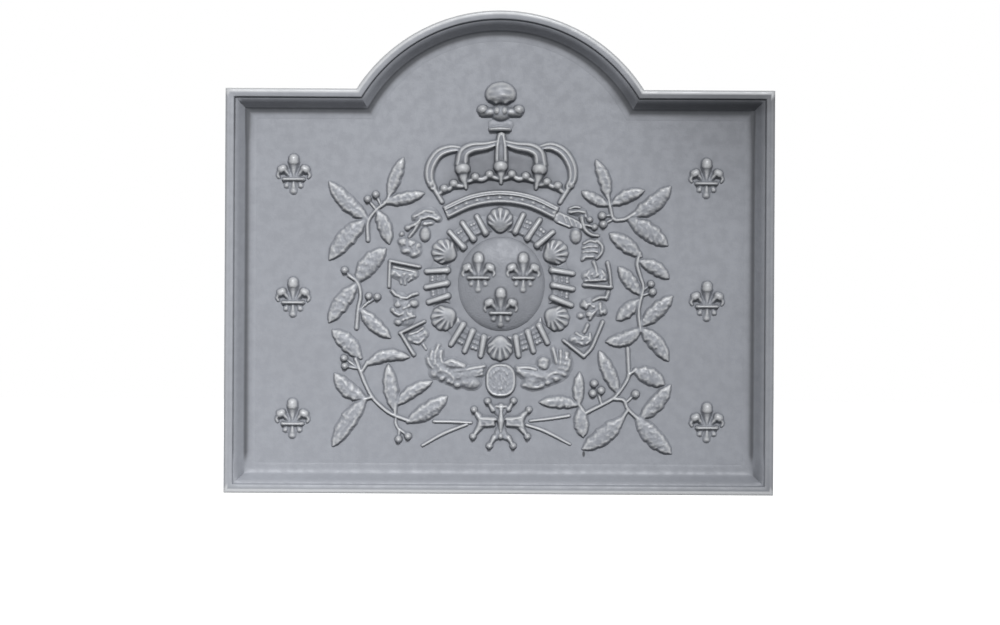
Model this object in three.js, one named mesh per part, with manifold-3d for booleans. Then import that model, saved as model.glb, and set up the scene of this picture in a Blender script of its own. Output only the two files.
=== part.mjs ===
// A cast-iron fireback with an arched top: a flat plate, a moulded rim and a crowned shield of
// fleurs-de-lis between two laurel branches, all in low relief.
//
// Millimetres, +Z up, front facing -Y. Inside the group the face of the field is the plane Y = 0:
// the plate lies behind it, and the rim and each ornament stand on it with a flat back, as the loose
// ornaments of a foundry pattern lie on its board.

import * as THREE from 'three';
import { mergeVertices } from 'three/addons/utils/BufferGeometryUtils.js';
import Module from 'manifold-3d';

const manifold = await Module();
manifold.setup();

// ---------------------------------------------------------------- driving dimensions

const WIDTH = 718;
const SHOULDER_HEIGHT = 529;
const ARCH_RADIUS = 223;
const ARCH_CENTRE_HEIGHT = 409;
const ARCH_STEPS = 28;
const PLATE_THICKNESS = 19;

const RIM_RISE = 19;
const RIM_FACE = 10;
const RIM_EDGE_RADIUS = 3.5;
const RIM_STEP_WIDTH = 1.5;
const RIM_STEP_DEPTH = 3;
const RIM_SLOPE = 17;

const ORNAMENT_GAP = 0.4;
const CUTTER_DEPTH = 60;

const FLEUR_SHARE = 0.43;
const FLEUR_TOP_HEIGHT = 416;
const FLEUR_PITCH = 160.5;
const FLEUR_RISE = 5.5;

const SHIELD_SHIFT = 2;
const SHIELD_HALF_WIDTH = 57;
const SHIELD_HALF_HEIGHT = 61;
const SHIELD_RISE = 9;
const SHIELD_FLEUR_SCALE = 0.84;
const SHIELD_FLEUR_RISE = 4;

const COLLAR_HEIGHT = 275;
const COLLAR_RADIUS = 83.5;
const COLLAR_BAND = 30;
const COLLAR_BAND_RISE = 2.4;
const COLLAR_LINK_REACH = 24;
const SHELL_RADIUS = 16.5;
const SHELL_RISE = 7.5;
const SHELL_RIBS = 7;
const LINK_BAR = 6;
const LINK_BAR_RISE = 6.5;
const LINK_BAR_PITCH = 12.4;
const LINK_BAR_TURN = 7;
const CORD_BEAD = 4;
const CORD_BEAD_RISE = 4.5;

const CROWN_BAND = 17;
const CROWN_BAND_RISE = 6;
const CROWN_ARCH_RISE = 8;
const CROWN_SIDE_ARCH_RISE = 7;
const CROWN_DROP_RISE = 10;
const PEARL_STRIP = 20;
const PEARL_STRIP_RISE = 3;
const CROWN_FINIAL_RISE = 11;
const PEARL_RADIUS = 5;
const PEARL_RISE = 7;

const FRAME_BAR = 5.5;
const FRAME_RISE = 5;
const TROPHY_RISE = 5;
const SWAG_RISE = 6.5;

const MEDALLION_HALF_WIDTH = 19.5;
const MEDALLION_HALF_HEIGHT = 21;
const MEDALLION_DROP = 25;
const MEDALLION_RISE = 7;
const MEDALLION_LIP = 3;
const CROSS_RISE = 5.5;
const CROSS_BALL = 5;
const DOVE_RISE = 8.5;

const LAUREL_SPREAD = 126;
const LEAF_RISE = 6.5;
const LEAF_STEPS = 5;
const STEM = 6;
const STEM_RISE = 4.5;
const STALK = 4.2;
const STALK_RISE = 3.6;
const BERRY_RADIUS = 5;
const LARGE_BERRY_RADIUS = 5.4;
const BERRY_RISE = 6;

// ---------------------------------------------------------------- cross-sections of the relief
// Each is a list of [place across, height]: across runs from -1 to 1, height from 0 to 1.

const ROUNDED = [[-1, 0], [-0.62, 0.8], [0, 1], [0.62, 0.8], [1, 0]];
const FLAT_TOPPED = [[-1, 0], [-0.5, 1], [0.5, 1], [1, 0]];
const RIDGED = [[-1, 0], [0, 1], [1, 0]];
const VEINED = [[-1, 0], [-0.58, 1], [0, 0.74], [0.58, 1], [1, 0]];
const DOUBLE_RIDGED = [[-1, 0], [-0.72, 1], [-0.25, 0.62], [0.25, 0.62], [0.72, 1], [1, 0]];
const THROUGH = [[-1, -1], [-1, 1], [1, 1], [1, -1]];

// ---------------------------------------------------------------- solids

function volumeOf(positions, index) {
  const [a, b, c] = [new THREE.Vector3(), new THREE.Vector3(), new THREE.Vector3()];
  let sum = 0;
  for (let i = 0; i < index.length; i += 3) {
    a.fromArray(positions, 3 * index[i]);
    b.fromArray(positions, 3 * index[i + 1]);
    c.fromArray(positions, 3 * index[i + 2]);
    sum += a.dot(b.cross(c)) / 6;
  }
  return sum;
}

// A manifold body from positions and triangles, with its faces turned outwards.
function solid(positions, index) {
  const faces = Uint32Array.from(index);
  if (volumeOf(positions, faces) < 0) {
    for (let i = 0; i < faces.length; i += 3) {
      [faces[i + 1], faces[i + 2]] = [faces[i + 2], faces[i + 1]];
    }
  }
  const mesh = new manifold.Mesh({
    numProp: 3,
    vertProperties: Float32Array.from(positions),
    triVerts: faces,
  });
  return new manifold.Manifold(mesh);
}

// The same from a geometry, whose seams are closed first.
function solidFrom(geometry) {
  const bare = geometry.clone();
  bare.deleteAttribute('normal');
  bare.deleteAttribute('uv');
  const merged = mergeVertices(bare, 1e-4);
  const index = [...merged.index.array];
  const kept = [];
  for (let i = 0; i < index.length; i += 3) {
    const [a, b, c] = index.slice(i, i + 3);
    if (a !== b && b !== c && a !== c) kept.push(a, b, c);
  }
  return solid(merged.attributes.position.array, kept);
}

const joined = (pieces) => pieces.reduce((whole, piece) => whole.add(piece));

// Reads a list of values spread evenly over 0 to 1, or a plain number.
function valueAt(values, t) {
  if (typeof values === 'number') return values;
  const place = t * (values.length - 1);
  const low = Math.min(Math.floor(place), values.length - 2);
  return THREE.MathUtils.lerp(values[low], values[low + 1], place - low);
}

// A strip of relief along a smooth line through points [x, z]. Its width and rise may change along
// the line, and its front follows the cross-section, while its back is flat on the field. The edge
// function makes the strip wider or narrower at each step, as for the teeth of a leaf.
function strip(points, width, rise, section = ROUNDED, steps = 5, edge = () => 1) {
  const line = new THREE.CatmullRomCurve3(points.map(([x, z]) => new THREE.Vector3(x, 0, z)));
  const positions = [];
  const index = [];
  const across = section.length;
  for (let i = 0; i <= steps; i++) {
    const t = i / steps;
    const centre = line.getPointAt(t);
    const along = line.getTangentAt(t);
    const half = valueAt(width, t) / 2 * edge(i, steps);
    for (const [side, height] of section) {
      const reach = side * half;
      positions.push(
        centre.x - along.z * reach,
        -height * valueAt(rise, t),
        centre.z + along.x * reach,
      );
    }
  }
  const at = (i, j) => i * across + j;
  for (let i = 0; i < steps; i++) {
    for (let j = 0; j < across - 1; j++) {
      index.push(at(i, j), at(i + 1, j), at(i + 1, j + 1), at(i, j), at(i + 1, j + 1), at(i, j + 1));
    }
    const last = across - 1;
    index.push(at(i, 0), at(i + 1, last), at(i + 1, 0), at(i, 0), at(i, last), at(i + 1, last));
  }
  for (let j = 1; j < across - 1; j++) {
    index.push(at(0, 0), at(0, j), at(0, j + 1));
    index.push(at(steps, 0), at(steps, j + 1), at(steps, j));
  }
  return solid(positions, index);
}

// A round or oval boss with a flat back, turned about its own middle.
function boss([x, z], halfWidth, halfHeight, rise, sides = 6) {
  const profile = [[0, 0], [1, 0], [0.78, 0.66], [0, 1]].map(([r, h]) => new THREE.Vector2(r, h));
  const geometry = new THREE.LatheGeometry(profile, sides);
  geometry.rotateX(Math.PI);
  geometry.scale(halfWidth, rise, halfHeight);
  geometry.translate(x, 0, z);
  return solidFrom(geometry);
}

// A block over a disc of the field, used only to cut neighbours clear of a round ornament.
function clearance([x, z], radius) {
  const geometry = new THREE.CylinderGeometry(radius, radius, CUTTER_DEPTH, 18);
  geometry.translate(x, 0, z);
  return solidFrom(geometry);
}

// ---------------------------------------------------------------- plate and rim

// The outline of the plate moved inwards by a distance, counter-clockwise from the lower left.
function outline(inset) {
  const side = WIDTH / 2 - inset;
  const shoulder = SHOULDER_HEIGHT - inset;
  const radius = ARCH_RADIUS - inset;
  const start = Math.asin((shoulder - ARCH_CENTRE_HEIGHT) / radius);
  const points = [[-side, inset], [side, inset], [side, shoulder]];
  for (let i = 0; i <= ARCH_STEPS; i++) {
    const angle = THREE.MathUtils.lerp(start, Math.PI - start, i / ARCH_STEPS);
    points.push([radius * Math.cos(angle), ARCH_CENTRE_HEIGHT + radius * Math.sin(angle)]);
  }
  points.push([-side, shoulder]);
  return points;
}

function groundPlate() {
  const shape = new THREE.Shape(outline(0).map(([x, z]) => new THREE.Vector2(x, z)));
  const geometry = new THREE.ExtrudeGeometry(shape, { depth: PLATE_THICKNESS, bevelEnabled: false });
  geometry.rotateX(Math.PI / 2);
  geometry.translate(0, PLATE_THICKNESS, 0);
  return solidFrom(geometry);
}

// The rim's cross-section as [distance in from the outline, rise over the field].
function rimSection() {
  const step = RIM_FACE + RIM_STEP_WIDTH;
  const shelf = RIM_RISE - RIM_STEP_DEPTH;
  const section = [[0, 0], [0, RIM_RISE - RIM_EDGE_RADIUS]];
  for (const turn of [Math.PI / 4, Math.PI / 2]) {
    section.push([
      RIM_EDGE_RADIUS * (1 - Math.cos(turn)),
      RIM_RISE - RIM_EDGE_RADIUS * (1 - Math.sin(turn)),
    ]);
  }
  section.push([RIM_FACE, RIM_RISE], [step, shelf]);
  for (const [across, down] of [[0.35, 0.16], [0.65, 0.42], [0.87, 0.74], [1, 1]]) {
    section.push([step + across * RIM_SLOPE, shelf * (1 - down)]);
  }
  return section;
}

function rimMoulding() {
  const rings = rimSection().map(([inset, rise]) => outline(inset).map(([x, z]) => [x, -rise, z]));
  const positions = rings.flat(2);
  const count = rings[0].length;
  const index = [];
  for (let ring = 0; ring < rings.length; ring++) {
    const next = (ring + 1) % rings.length;
    for (let i = 0; i < count; i++) {
      const j = (i + 1) % count;
      const [a, b, c, d] = [ring * count + i, ring * count + j, next * count + j, next * count + i];
      index.push(a, b, c, a, c, d);
    }
  }
  return solid(positions, index);
}

const RIM_WIDTH = RIM_FACE + RIM_STEP_WIDTH + RIM_SLOPE;

// ---------------------------------------------------------------- freehand forms of the arms
// The shells of the collar reach a set distance from its centre. The crown, outer collar, swags,
// cross and laurels keep their places round that circle: their points are measured from its
// centre, and points and lists of widths are in hundredths of its reach.

const COLLAR_REACH = COLLAR_RADIUS + SHELL_RADIUS;
const UNIT = COLLAR_REACH / 100;
const LAUREL_EDGE = LAUREL_SPREAD * UNIT + COLLAR_REACH;

const onArms = ([x, z]) => [x * UNIT, COLLAR_HEIGHT + z * UNIT];

function freehand(points, widths, rise, section, steps, edge) {
  const sized = typeof widths === 'number' ? widths : widths.map((width) => width * UNIT);
  return strip(points.map(onArms), sized, rise, section, steps, edge);
}

function knob(place, halfWidth, halfHeight, rise, sides) {
  return boss(onArms(place), halfWidth * UNIT, halfHeight * UNIT, rise, sides);
}

// ---------------------------------------------------------------- fleurs-de-lis

// A fleur-de-lis about [x, z]: three petals, a cross bar and three short feet.
function fleur([x, z], scale, rise) {
  const place = (points, side = 1) => points.map(([px, pz]) => [x + side * px * scale, z + pz * scale]);
  const sized = (widths) => widths.map((width) => width * scale);
  const pieces = [
    strip(place([[0, -6], [0, 8], [0, 28.5]]), sized([6, 9, 15.5, 2]), rise, ROUNDED, 3),
    strip(place([[-14, -5.5], [13, -5.5]]), 4.6 * scale, 0.8 * rise, FLAT_TOPPED, 1),
    strip(place([[0, -6], [0, -28]]), sized([6, 9, 2]), 0.62 * rise, RIDGED, 2),
  ];
  for (const side of [-1, 1]) {
    const petal = place([[3, -6], [8, 4], [14.5, 11.5], [21, 6.5], [22, -2]], side);
    pieces.push(strip(petal, sized([4, 7, 11, 9, 2]), rise, RIDGED, 4));
    const foot = place([[3, -6], [9.5, -19]], side);
    pieces.push(strip(foot, sized([5, 7]), 0.55 * rise, RIDGED, 1));
  }
  return joined(pieces);
}

// Two columns, each a set share of the way from the laurel to the rim.
function fieldFleurs() {
  const column = THREE.MathUtils.lerp(LAUREL_EDGE, WIDTH / 2 - RIM_WIDTH, FLEUR_SHARE);
  const solids = {};
  for (const [sideName, side] of [['left', -1], ['right', 1]]) {
    for (const [row, rowName] of ['top', 'middle', 'bottom'].entries()) {
      const centre = [side * column, FLEUR_TOP_HEIGHT - row * FLEUR_PITCH];
      solids[`field_fleur_${sideName}_${rowName}`] = fleur(centre, 1, FLEUR_RISE);
    }
  }
  return solids;
}

// ---------------------------------------------------------------- shield

// A low oval dome, and the three fleurs-de-lis that rise out of it.
function shield() {
  const profile = [[0, 0], [1, 0], [0.9, 0.42], [0.66, 0.78], [0, 1]];
  const turned = new THREE.LatheGeometry(profile.map(([r, h]) => new THREE.Vector2(r, h)), 22);
  turned.rotateX(Math.PI);
  turned.scale(SHIELD_HALF_WIDTH, SHIELD_RISE, SHIELD_HALF_HEIGHT);
  turned.translate(SHIELD_SHIFT, 0, COLLAR_HEIGHT);
  let body = solidFrom(turned);
  for (const [dx, dz] of [[-30.5, 13], [28.5, 13.5], [-1.5, -34]]) {
    const centre = [SHIELD_SHIFT + dx, COLLAR_HEIGHT + dz];
    body = body.add(fleur(centre, SHIELD_FLEUR_SCALE, SHIELD_RISE + SHIELD_FLEUR_RISE));
  }
  return body;
}

// ---------------------------------------------------------------- collar of shells

const SHELLS = ['top', 'upper_right', 'lower_right', 'bottom', 'lower_left', 'upper_left'];
const SHELL_PITCH = 360 / SHELLS.length;

const onCollar = (degrees, radius) => {
  const angle = THREE.MathUtils.degToRad(degrees);
  return [radius * Math.cos(angle), COLLAR_HEIGHT + radius * Math.sin(angle)];
};

// A scallop shell, fanned outwards: ridges and furrows run from its hub to its edge.
function shell(degrees) {
  const centre = onCollar(degrees, COLLAR_RADIUS);
  const outwards = THREE.MathUtils.degToRad(degrees);
  const count = 2 * SHELL_RIBS + 8;
  const positions = [];
  for (const [reach, ridge, furrow] of [[1, 0, 0], [0.8, 0.85, 0.55]]) {
    for (let i = 0; i < count; i++) {
      const angle = outwards + 2 * Math.PI * i / count;
      const fanned = Math.cos(angle - outwards) > -0.35;
      const scallop = fanned && i % 2 ? 0.93 : 1;
      const height = fanned && i % 2 ? furrow : ridge;
      positions.push(
        centre[0] + reach * scallop * SHELL_RADIUS * Math.cos(angle),
        -height * SHELL_RISE,
        centre[1] + reach * scallop * SHELL_RADIUS * Math.sin(angle),
      );
    }
  }
  const hub = onCollar(degrees, COLLAR_RADIUS - 0.4 * SHELL_RADIUS);
  positions.push(hub[0], -SHELL_RISE, hub[1], hub[0], 0, hub[1]);
  const index = [];
  for (let i = 0; i < count; i++) {
    const j = (i + 1) % count;
    index.push(i, j, count + j, i, count + j, count + i);
    index.push(count + i, count + j, 2 * count);
    index.push(j, i, 2 * count + 1);
  }
  return solid(positions, index);
}

// A link between two shells: a low curved band with three bars and a double cord of beads. The bars
// lean by a tilt from the line through the collar's centre, and lie a shift farther out than the band.
function collarLink(degrees, tilt, shift) {
  const arc = [-1, -0.5, 0, 0.5, 1].map((t) => onCollar(degrees + t * COLLAR_LINK_REACH, COLLAR_RADIUS));
  const pieces = [strip(arc, COLLAR_BAND, COLLAR_BAND_RISE, FLAT_TOPPED, 3)];
  for (const place of [-1, 0, 1]) {
    const middle = onCollar(degrees + place * LINK_BAR_PITCH, COLLAR_RADIUS + shift);
    const lean = THREE.MathUtils.degToRad(degrees + tilt + place * LINK_BAR_TURN);
    const half = COLLAR_BAND / 2;
    const ends = [-1, 1].map((end) => [
      middle[0] + end * half * Math.cos(lean),
      middle[1] + end * half * Math.sin(lean),
    ]);
    pieces.push(strip(ends, LINK_BAR, LINK_BAR_RISE, FLAT_TOPPED, 1));
  }
  for (const place of [-0.5, 0.5]) {
    for (const row of [-1, 1]) {
      const centre = onCollar(degrees + place * LINK_BAR_PITCH, COLLAR_RADIUS + row * 1.4 * CORD_BEAD);
      pieces.push(boss(centre, CORD_BEAD, CORD_BEAD, CORD_BEAD_RISE, 5));
    }
  }
  let link = joined(pieces);
  for (const side of [-0.5, 0.5]) {
    const neighbour = onCollar(degrees + side * SHELL_PITCH, COLLAR_RADIUS);
    link = link.subtract(clearance(neighbour, SHELL_RADIUS + ORNAMENT_GAP));
  }
  return link;
}

// Shells and links by turns, clockwise from the top.
function collar() {
  const solids = {};
  const links = [
    ['upper_right', -2, -3], ['right', -9, 0], ['lower_right', -8, 1],
    ['lower_left', 8, 1], ['left', 9, -1], ['upper_left', 2, -3],
  ];
  SHELLS.forEach((place, i) => {
    solids[`collar_shell_${place}`] = shell(90 - i * SHELL_PITCH);
  });
  links.forEach(([place, tilt, shift], i) => {
    solids[`collar_link_${place}`] = collarLink(90 - (i + 0.5) * SHELL_PITCH, tilt, shift);
  });
  return solids;
}

// ---------------------------------------------------------------- crown

const BAND_LINE = [[-73, 94], [-38, 109], [0, 114.5], [38, 109], [73, 94]];
const PEARL_STRIP_LINE = [[-86, 115], [-44, 128.5], [0, 133], [44, 128.5], [86, 115]];

function crownBand() {
  return freehand(BAND_LINE, CROWN_BAND, CROWN_BAND_RISE, DOUBLE_RIDGED, 8);
}

// The open arches, their pear-shaped drops and the pearls, on a low strip above the band.
function crownArches() {
  const pearls = [[-74.5, 126], [-61.5, 132.5], [-34, 141], [-15, 144]];
  const pieces = [
    freehand(PEARL_STRIP_LINE, PEARL_STRIP, PEARL_STRIP_RISE, FLAT_TOPPED, 6),
    freehand([[0, 195], [0, 157]], [12, 17], CROWN_ARCH_RISE, DOUBLE_RIDGED, 2),
    freehand([[0, 168], [0, 154], [0, 136]], [12, 22, 18, 5], CROWN_DROP_RISE, ROUNDED, 3),
  ];
  for (const side of [-1, 1]) {
    const place = (points) => points.map(([x, z]) => [side * x, z]);
    const inner = place([[0, 188], [17, 182], [35, 178.5], [47, 172], [51, 157]]);
    const outer = place([[47, 177], [66, 177], [82, 170], [91.5, 155], [93, 137], [84, 117]]);
    const drop = place([[51, 163], [50, 150], [46, 129]]);
    pieces.push(freehand(inner, [8, 9, 11, 14, 15], CROWN_ARCH_RISE, DOUBLE_RIDGED, 5));
    pieces.push(freehand(outer, [4, 8, 11, 12, 11, 8], CROWN_SIDE_ARCH_RISE, DOUBLE_RIDGED, 6));
    pieces.push(freehand(drop, [13, 21, 17, 5], CROWN_DROP_RISE, ROUNDED, 3));
    for (const [x, z] of pearls) {
      pieces.push(boss(onArms([side * x, z]), PEARL_RADIUS, PEARL_RADIUS, PEARL_RISE));
    }
  }
  const bandClearance = freehand(BAND_LINE, CROWN_BAND + 2 * ORNAMENT_GAP, CUTTER_DEPTH, THROUGH, 8);
  return joined(pieces).subtract(bandClearance);
}

// The tuft on top: a ball, two side knobs, a cup, a neck and a flat ring.
function crownFinial() {
  const pieces = [
    freehand([[0, 234], [0, 249], [0, 266]], [26, 40, 39, 30, 3], CROWN_FINIAL_RISE, ROUNDED, 5),
    freehand([[0, 237], [0, 226], [0, 213]], [20, 27, 22, 6], 0.85 * CROWN_FINIAL_RISE, ROUNDED, 3),
    freehand([[0, 217], [0, 203]], [12, 15], 0.35 * CROWN_FINIAL_RISE, FLAT_TOPPED, 1),
    freehand([[-17, 202], [0, 203.5], [17, 202]], [4, 6.5, 4], 0.6 * CROWN_FINIAL_RISE, ROUNDED, 4),
  ];
  for (const side of [-1, 1]) {
    pieces.push(knob([side * 23.5, 229], 8.5, 8, 0.75 * CROWN_FINIAL_RISE, 8));
    pieces.push(freehand([[side * 6, 224], [side * 24, 227]], [8, 8], 0.5 * CROWN_FINIAL_RISE, ROUNDED, 1));
  }
  return joined(pieces);
}

// ---------------------------------------------------------------- outer collar

// Frames, tied trophies, plumes and pendants of the outer collar. Every solid is one ornament.
function outerCollar() {
  return {
    outer_plume_left: joined([
      freehand([[-121, 76], [-111, 76], [-105, 86], [-98, 95], [-85, 94]], [4, 7, 8, 9, 4], TROPHY_RISE),
      knob([-124, 74], 4.5, 4.5, TROPHY_RISE, 8),
    ]),
    outer_pendant_left: knob([-100, 65], 7.5, 10, TROPHY_RISE, 12),
    outer_feather_left: joined([
      freehand([[-131, 60], [-121, 51], [-109, 42]], [9, 24, 25, 14], TROPHY_RISE, VEINED, 4),
      freehand([[-111, 71], [-116, 63], [-120, 55]], [4, 7, 4], TROPHY_RISE, RIDGED, 2),
    ]),
    outer_frame_left_upper: joined([
      freehand([[-145.5, 29.5], [-106, 23]], FRAME_BAR, FRAME_RISE, FLAT_TOPPED, 1),
      freehand([[-143.5, 29], [-144.5, -5]], FRAME_BAR, FRAME_RISE, FLAT_TOPPED, 1),
    ]),
    outer_trophy_left_upper: joined([
      freehand([[-137, 18], [-124, 12], [-111, 16]], [5, 13, 5], 0.7 * TROPHY_RISE, ROUNDED, 3),
      freehand([[-124, 17], [-120, 1]], [12, 4], 0.7 * TROPHY_RISE, RIDGED, 2),
    ]),
    outer_knot_left: joined([
      freehand([[-142, -9], [-127, -18], [-110, -12]], [5, 9, 5], TROPHY_RISE, ROUNDED, 3),
      freehand([[-140, -36], [-127, -30], [-109, -23]], [5, 9, 8], TROPHY_RISE, ROUNDED, 3),
      freehand([[-136, -51], [-121, -41], [-111, -35]], [7, 10, 5], TROPHY_RISE, ROUNDED, 3),
      freehand([[-128, -15], [-124, -30], [-121, -46]], [8, 12, 8], 0.7 * TROPHY_RISE, ROUNDED, 2),
      knob([-134, -26], 6, 6, TROPHY_RISE),
    ]),
    outer_frame_left_lower: joined([
      freehand([[-99, -48.5], [-130.5, -67]], FRAME_BAR, FRAME_RISE, FLAT_TOPPED, 1),
      freehand([[-129, -65], [-111.5, -94.5]], FRAME_BAR, FRAME_RISE, FLAT_TOPPED, 1),
    ]),
    outer_trophy_left_lower: joined([
      freehand([[-120, -68], [-108, -67], [-98, -58]], [5, 12, 5], 0.7 * TROPHY_RISE, ROUNDED, 3),
      freehand([[-104, -64], [-107, -79]], [11, 4], 0.7 * TROPHY_RISE, RIDGED, 2),
    ]),
    outer_staff_right: joined([
      freehand([[80, 90], [91, 83.5], [101.5, 78]], [10, 14, 8], 0.8 * TROPHY_RISE, ROUNDED, 2),
      knob([97, 66], 9, 12, TROPHY_RISE, 12),
    ]),
    outer_hook_right: joined([
      freehand(
        [[127, 68], [116, 70], [109, 80], [107.5, 92], [98, 100], [86, 103]],
        [4, 8, 7, 7, 8, 4], TROPHY_RISE, ROUNDED, 7,
      ),
      freehand([[110, 82], [116, 86]], [5, 7], TROPHY_RISE, ROUNDED, 2),
      knob([122, 76.5], 6, 5.5, TROPHY_RISE, 8),
    ]),
    outer_feather_right: freehand(
      [[130, 59], [121, 49], [109, 37]], [12, 27, 26, 9], TROPHY_RISE, VEINED, 5,
    ),
    outer_frame_right_upper: joined([
      freehand([[139, 30.5], [142.5, 15], [143.5, -4]], FRAME_BAR, FRAME_RISE, FLAT_TOPPED, 2),
      freehand([[106.5, -0.5], [145, -2]], FRAME_BAR, FRAME_RISE, FLAT_TOPPED, 1),
    ]),
    outer_trophy_right_upper: joined([
      freehand([[110, 7], [123, 13], [136, 8]], [4, 10, 5], 0.7 * TROPHY_RISE, ROUNDED, 3),
      freehand([[124, 11], [124, 33]], [14, 5], 0.7 * TROPHY_RISE, RIDGED, 2),
    ]),
    outer_knot_right: joined([
      freehand([[141, -10], [133, -14], [121, -17]], [6, 9, 5], TROPHY_RISE, ROUNDED, 3),
      freehand([[108, -21], [116, -28], [128, -32]], [8, 10, 6], TROPHY_RISE, ROUNDED, 3),
      freehand([[132, -13], [131, -28], [137, -37]], [7, 8, 8], TROPHY_RISE, ROUNDED, 3),
      freehand([[128, -29], [117, -39], [108, -44]], [7, 9, 5], TROPHY_RISE, ROUNDED, 3),
    ]),
    outer_frame_right_lower: joined([
      freehand([[80, -70.5], [110, -93]], FRAME_BAR, FRAME_RISE, FLAT_TOPPED, 1),
      freehand([[108, -93], [127, -65], [134.5, -47]], FRAME_BAR, FRAME_RISE, FLAT_TOPPED, 2),
    ]),
    outer_trophy_right_lower: joined([
      freehand([[93, -71], [105, -71], [117, -66]], [5, 13, 5], 0.7 * TROPHY_RISE, ROUNDED, 3),
      freehand([[105, -69], [112, -49]], [10, 6], 0.7 * TROPHY_RISE, RIDGED, 2),
    ]),
  };
}

// ---------------------------------------------------------------- medallion, cross and swags

function medallion() {
  const lip = 1 - MEDALLION_LIP / MEDALLION_HALF_WIDTH;
  const profile = [[0, 0], [1, 0], [0.97, 0.8], [0.92, 1], [lip, 0.9], [lip - 0.05, 0.5], [0, 0.6]];
  const turned = new THREE.LatheGeometry(profile.map(([r, h]) => new THREE.Vector2(r, h)), 20);
  turned.rotateX(Math.PI);
  turned.scale(MEDALLION_HALF_WIDTH, MEDALLION_RISE, MEDALLION_HALF_HEIGHT);
  turned.translate(0, 0, COLLAR_HEIGHT - COLLAR_REACH - MEDALLION_DROP);
  return solidFrom(turned);
}

// An eight-pointed cross with a ball on each point and a dove, wings spread, on its face.
function crossWithDove() {
  const points = [
    [-16.5, -154], [0, -163], [17, -153.5], [9, -171], [36.5, -164], [29, -179.5],
    [36, -198.5], [10, -189], [17, -211], [1, -202], [-15, -210.5], [-8, -189],
    [-36, -198.5], [-30, -179.5], [-35, -164.5], [-9, -171],
  ];
  const shape = new THREE.Shape(points.map((point) => new THREE.Vector2(...onArms(point))));
  const arms = new THREE.ExtrudeGeometry(shape, { depth: 0.6 * CROSS_RISE, bevelEnabled: false });
  arms.rotateX(Math.PI / 2);
  const balls = points.filter((_, i) => i % 2 === 0).map((tip) => (
    boss(onArms(tip), CROSS_BALL, CROSS_BALL, CROSS_RISE + 1)
  ));
  const dove = [
    freehand(
      [[0, -156], [0, -167], [1, -178], [0.5, -191], [0.5, -203]],
      [13, 5, 13, 8, 4], DOVE_RISE, ROUNDED, 4,
    ),
    freehand([[-27, -176], [-12, -181], [1, -178]], [12, 13, 8], 0.75 * DOVE_RISE, RIDGED, 2),
    freehand([[1, -178], [14, -181], [28, -177]], [8, 13, 12], 0.75 * DOVE_RISE, RIDGED, 2),
  ];
  return joined([solidFrom(arms), ...balls, ...dove]);
}

// The two leafy swags under the collar.
function swags() {
  return {
    swag_left: joined([
      freehand([[-62, -122], [-76, -109], [-84, -97], [-80, -80]], [22, 29, 21, 3], SWAG_RISE, VEINED, 4),
      freehand([[-80, -103], [-90, -98], [-96, -99]], [13, 9, 3], SWAG_RISE, RIDGED, 2),
      freehand([[-73, -107], [-60, -105], [-46, -108]], [6, 15, 7], 1.15 * SWAG_RISE, ROUNDED, 2),
      freehand(
        [[-74, -119], [-52, -121], [-33, -119], [-18, -109]],
        [10, 18, 18, 4], 0.9 * SWAG_RISE, VEINED, 3,
      ),
      knob([-75, -122], 6, 5, 0.9 * SWAG_RISE),
      knob([-65, -126], 7, 7, 0.9 * SWAG_RISE),
      knob([-53, -129], 8, 8, 0.9 * SWAG_RISE),
      knob([-38, -127], 12, 11, 0.9 * SWAG_RISE),
    ]),
    swag_right: joined([
      freehand([[60, -125], [74, -115], [84, -103], [86, -89]], [18, 26, 22, 6], SWAG_RISE, VEINED, 3),
      freehand(
        [[22, -110], [38, -117], [56, -120], [70, -115]],
        [5, 20, 20, 8], 0.9 * SWAG_RISE, VEINED, 3,
      ),
      knob([56, -103], 10, 9, 1.15 * SWAG_RISE, 8),
      knob([73, -93], 8, 8, SWAG_RISE),
      knob([41, -126], 11, 10, 0.9 * SWAG_RISE),
      knob([54, -129], 8, 7, 0.9 * SWAG_RISE),
      knob([66, -125], 8, 7, 0.9 * SWAG_RISE),
      knob([76, -120], 7, 7, 0.9 * SWAG_RISE),
    ]),
  };
}

// ---------------------------------------------------------------- laurel branches

// A leaf from its base to its tip: widest before the middle, with a toothed edge and a sunk vein.
// A bow pushes its middle sideways, to the left of the way from base to tip.
function leaf(base, tip, width, bow = 0) {
  const [dx, dz] = [tip[0] - base[0], tip[1] - base[1]];
  const length = Math.hypot(dx, dz);
  const middle = [
    (base[0] + tip[0]) / 2 - dz / length * bow,
    (base[1] + tip[1]) / 2 + dx / length * bow,
  ];
  const toothed = (i) => (i % 2 ? 1.06 : 0.9);
  const widths = [0.3, 0.82, 1, 0.98, 0.8, 0.08].map((share) => share * width);
  const rises = [0.75, 1, 0.6].map((share) => share * LEAF_RISE);
  return freehand([base, middle, tip], widths, rises, VEINED, LEAF_STEPS, toothed);
}

const stem = (...points) => freehand(points, STEM, STEM_RISE, RIDGED, points.length - 1);
const stalk = (...points) => freehand(points, STALK, STALK_RISE, RIDGED, points.length - 1);
const berry = (place, radius = BERRY_RADIUS) => boss(onArms(place), radius, radius, BERRY_RISE);

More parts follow.
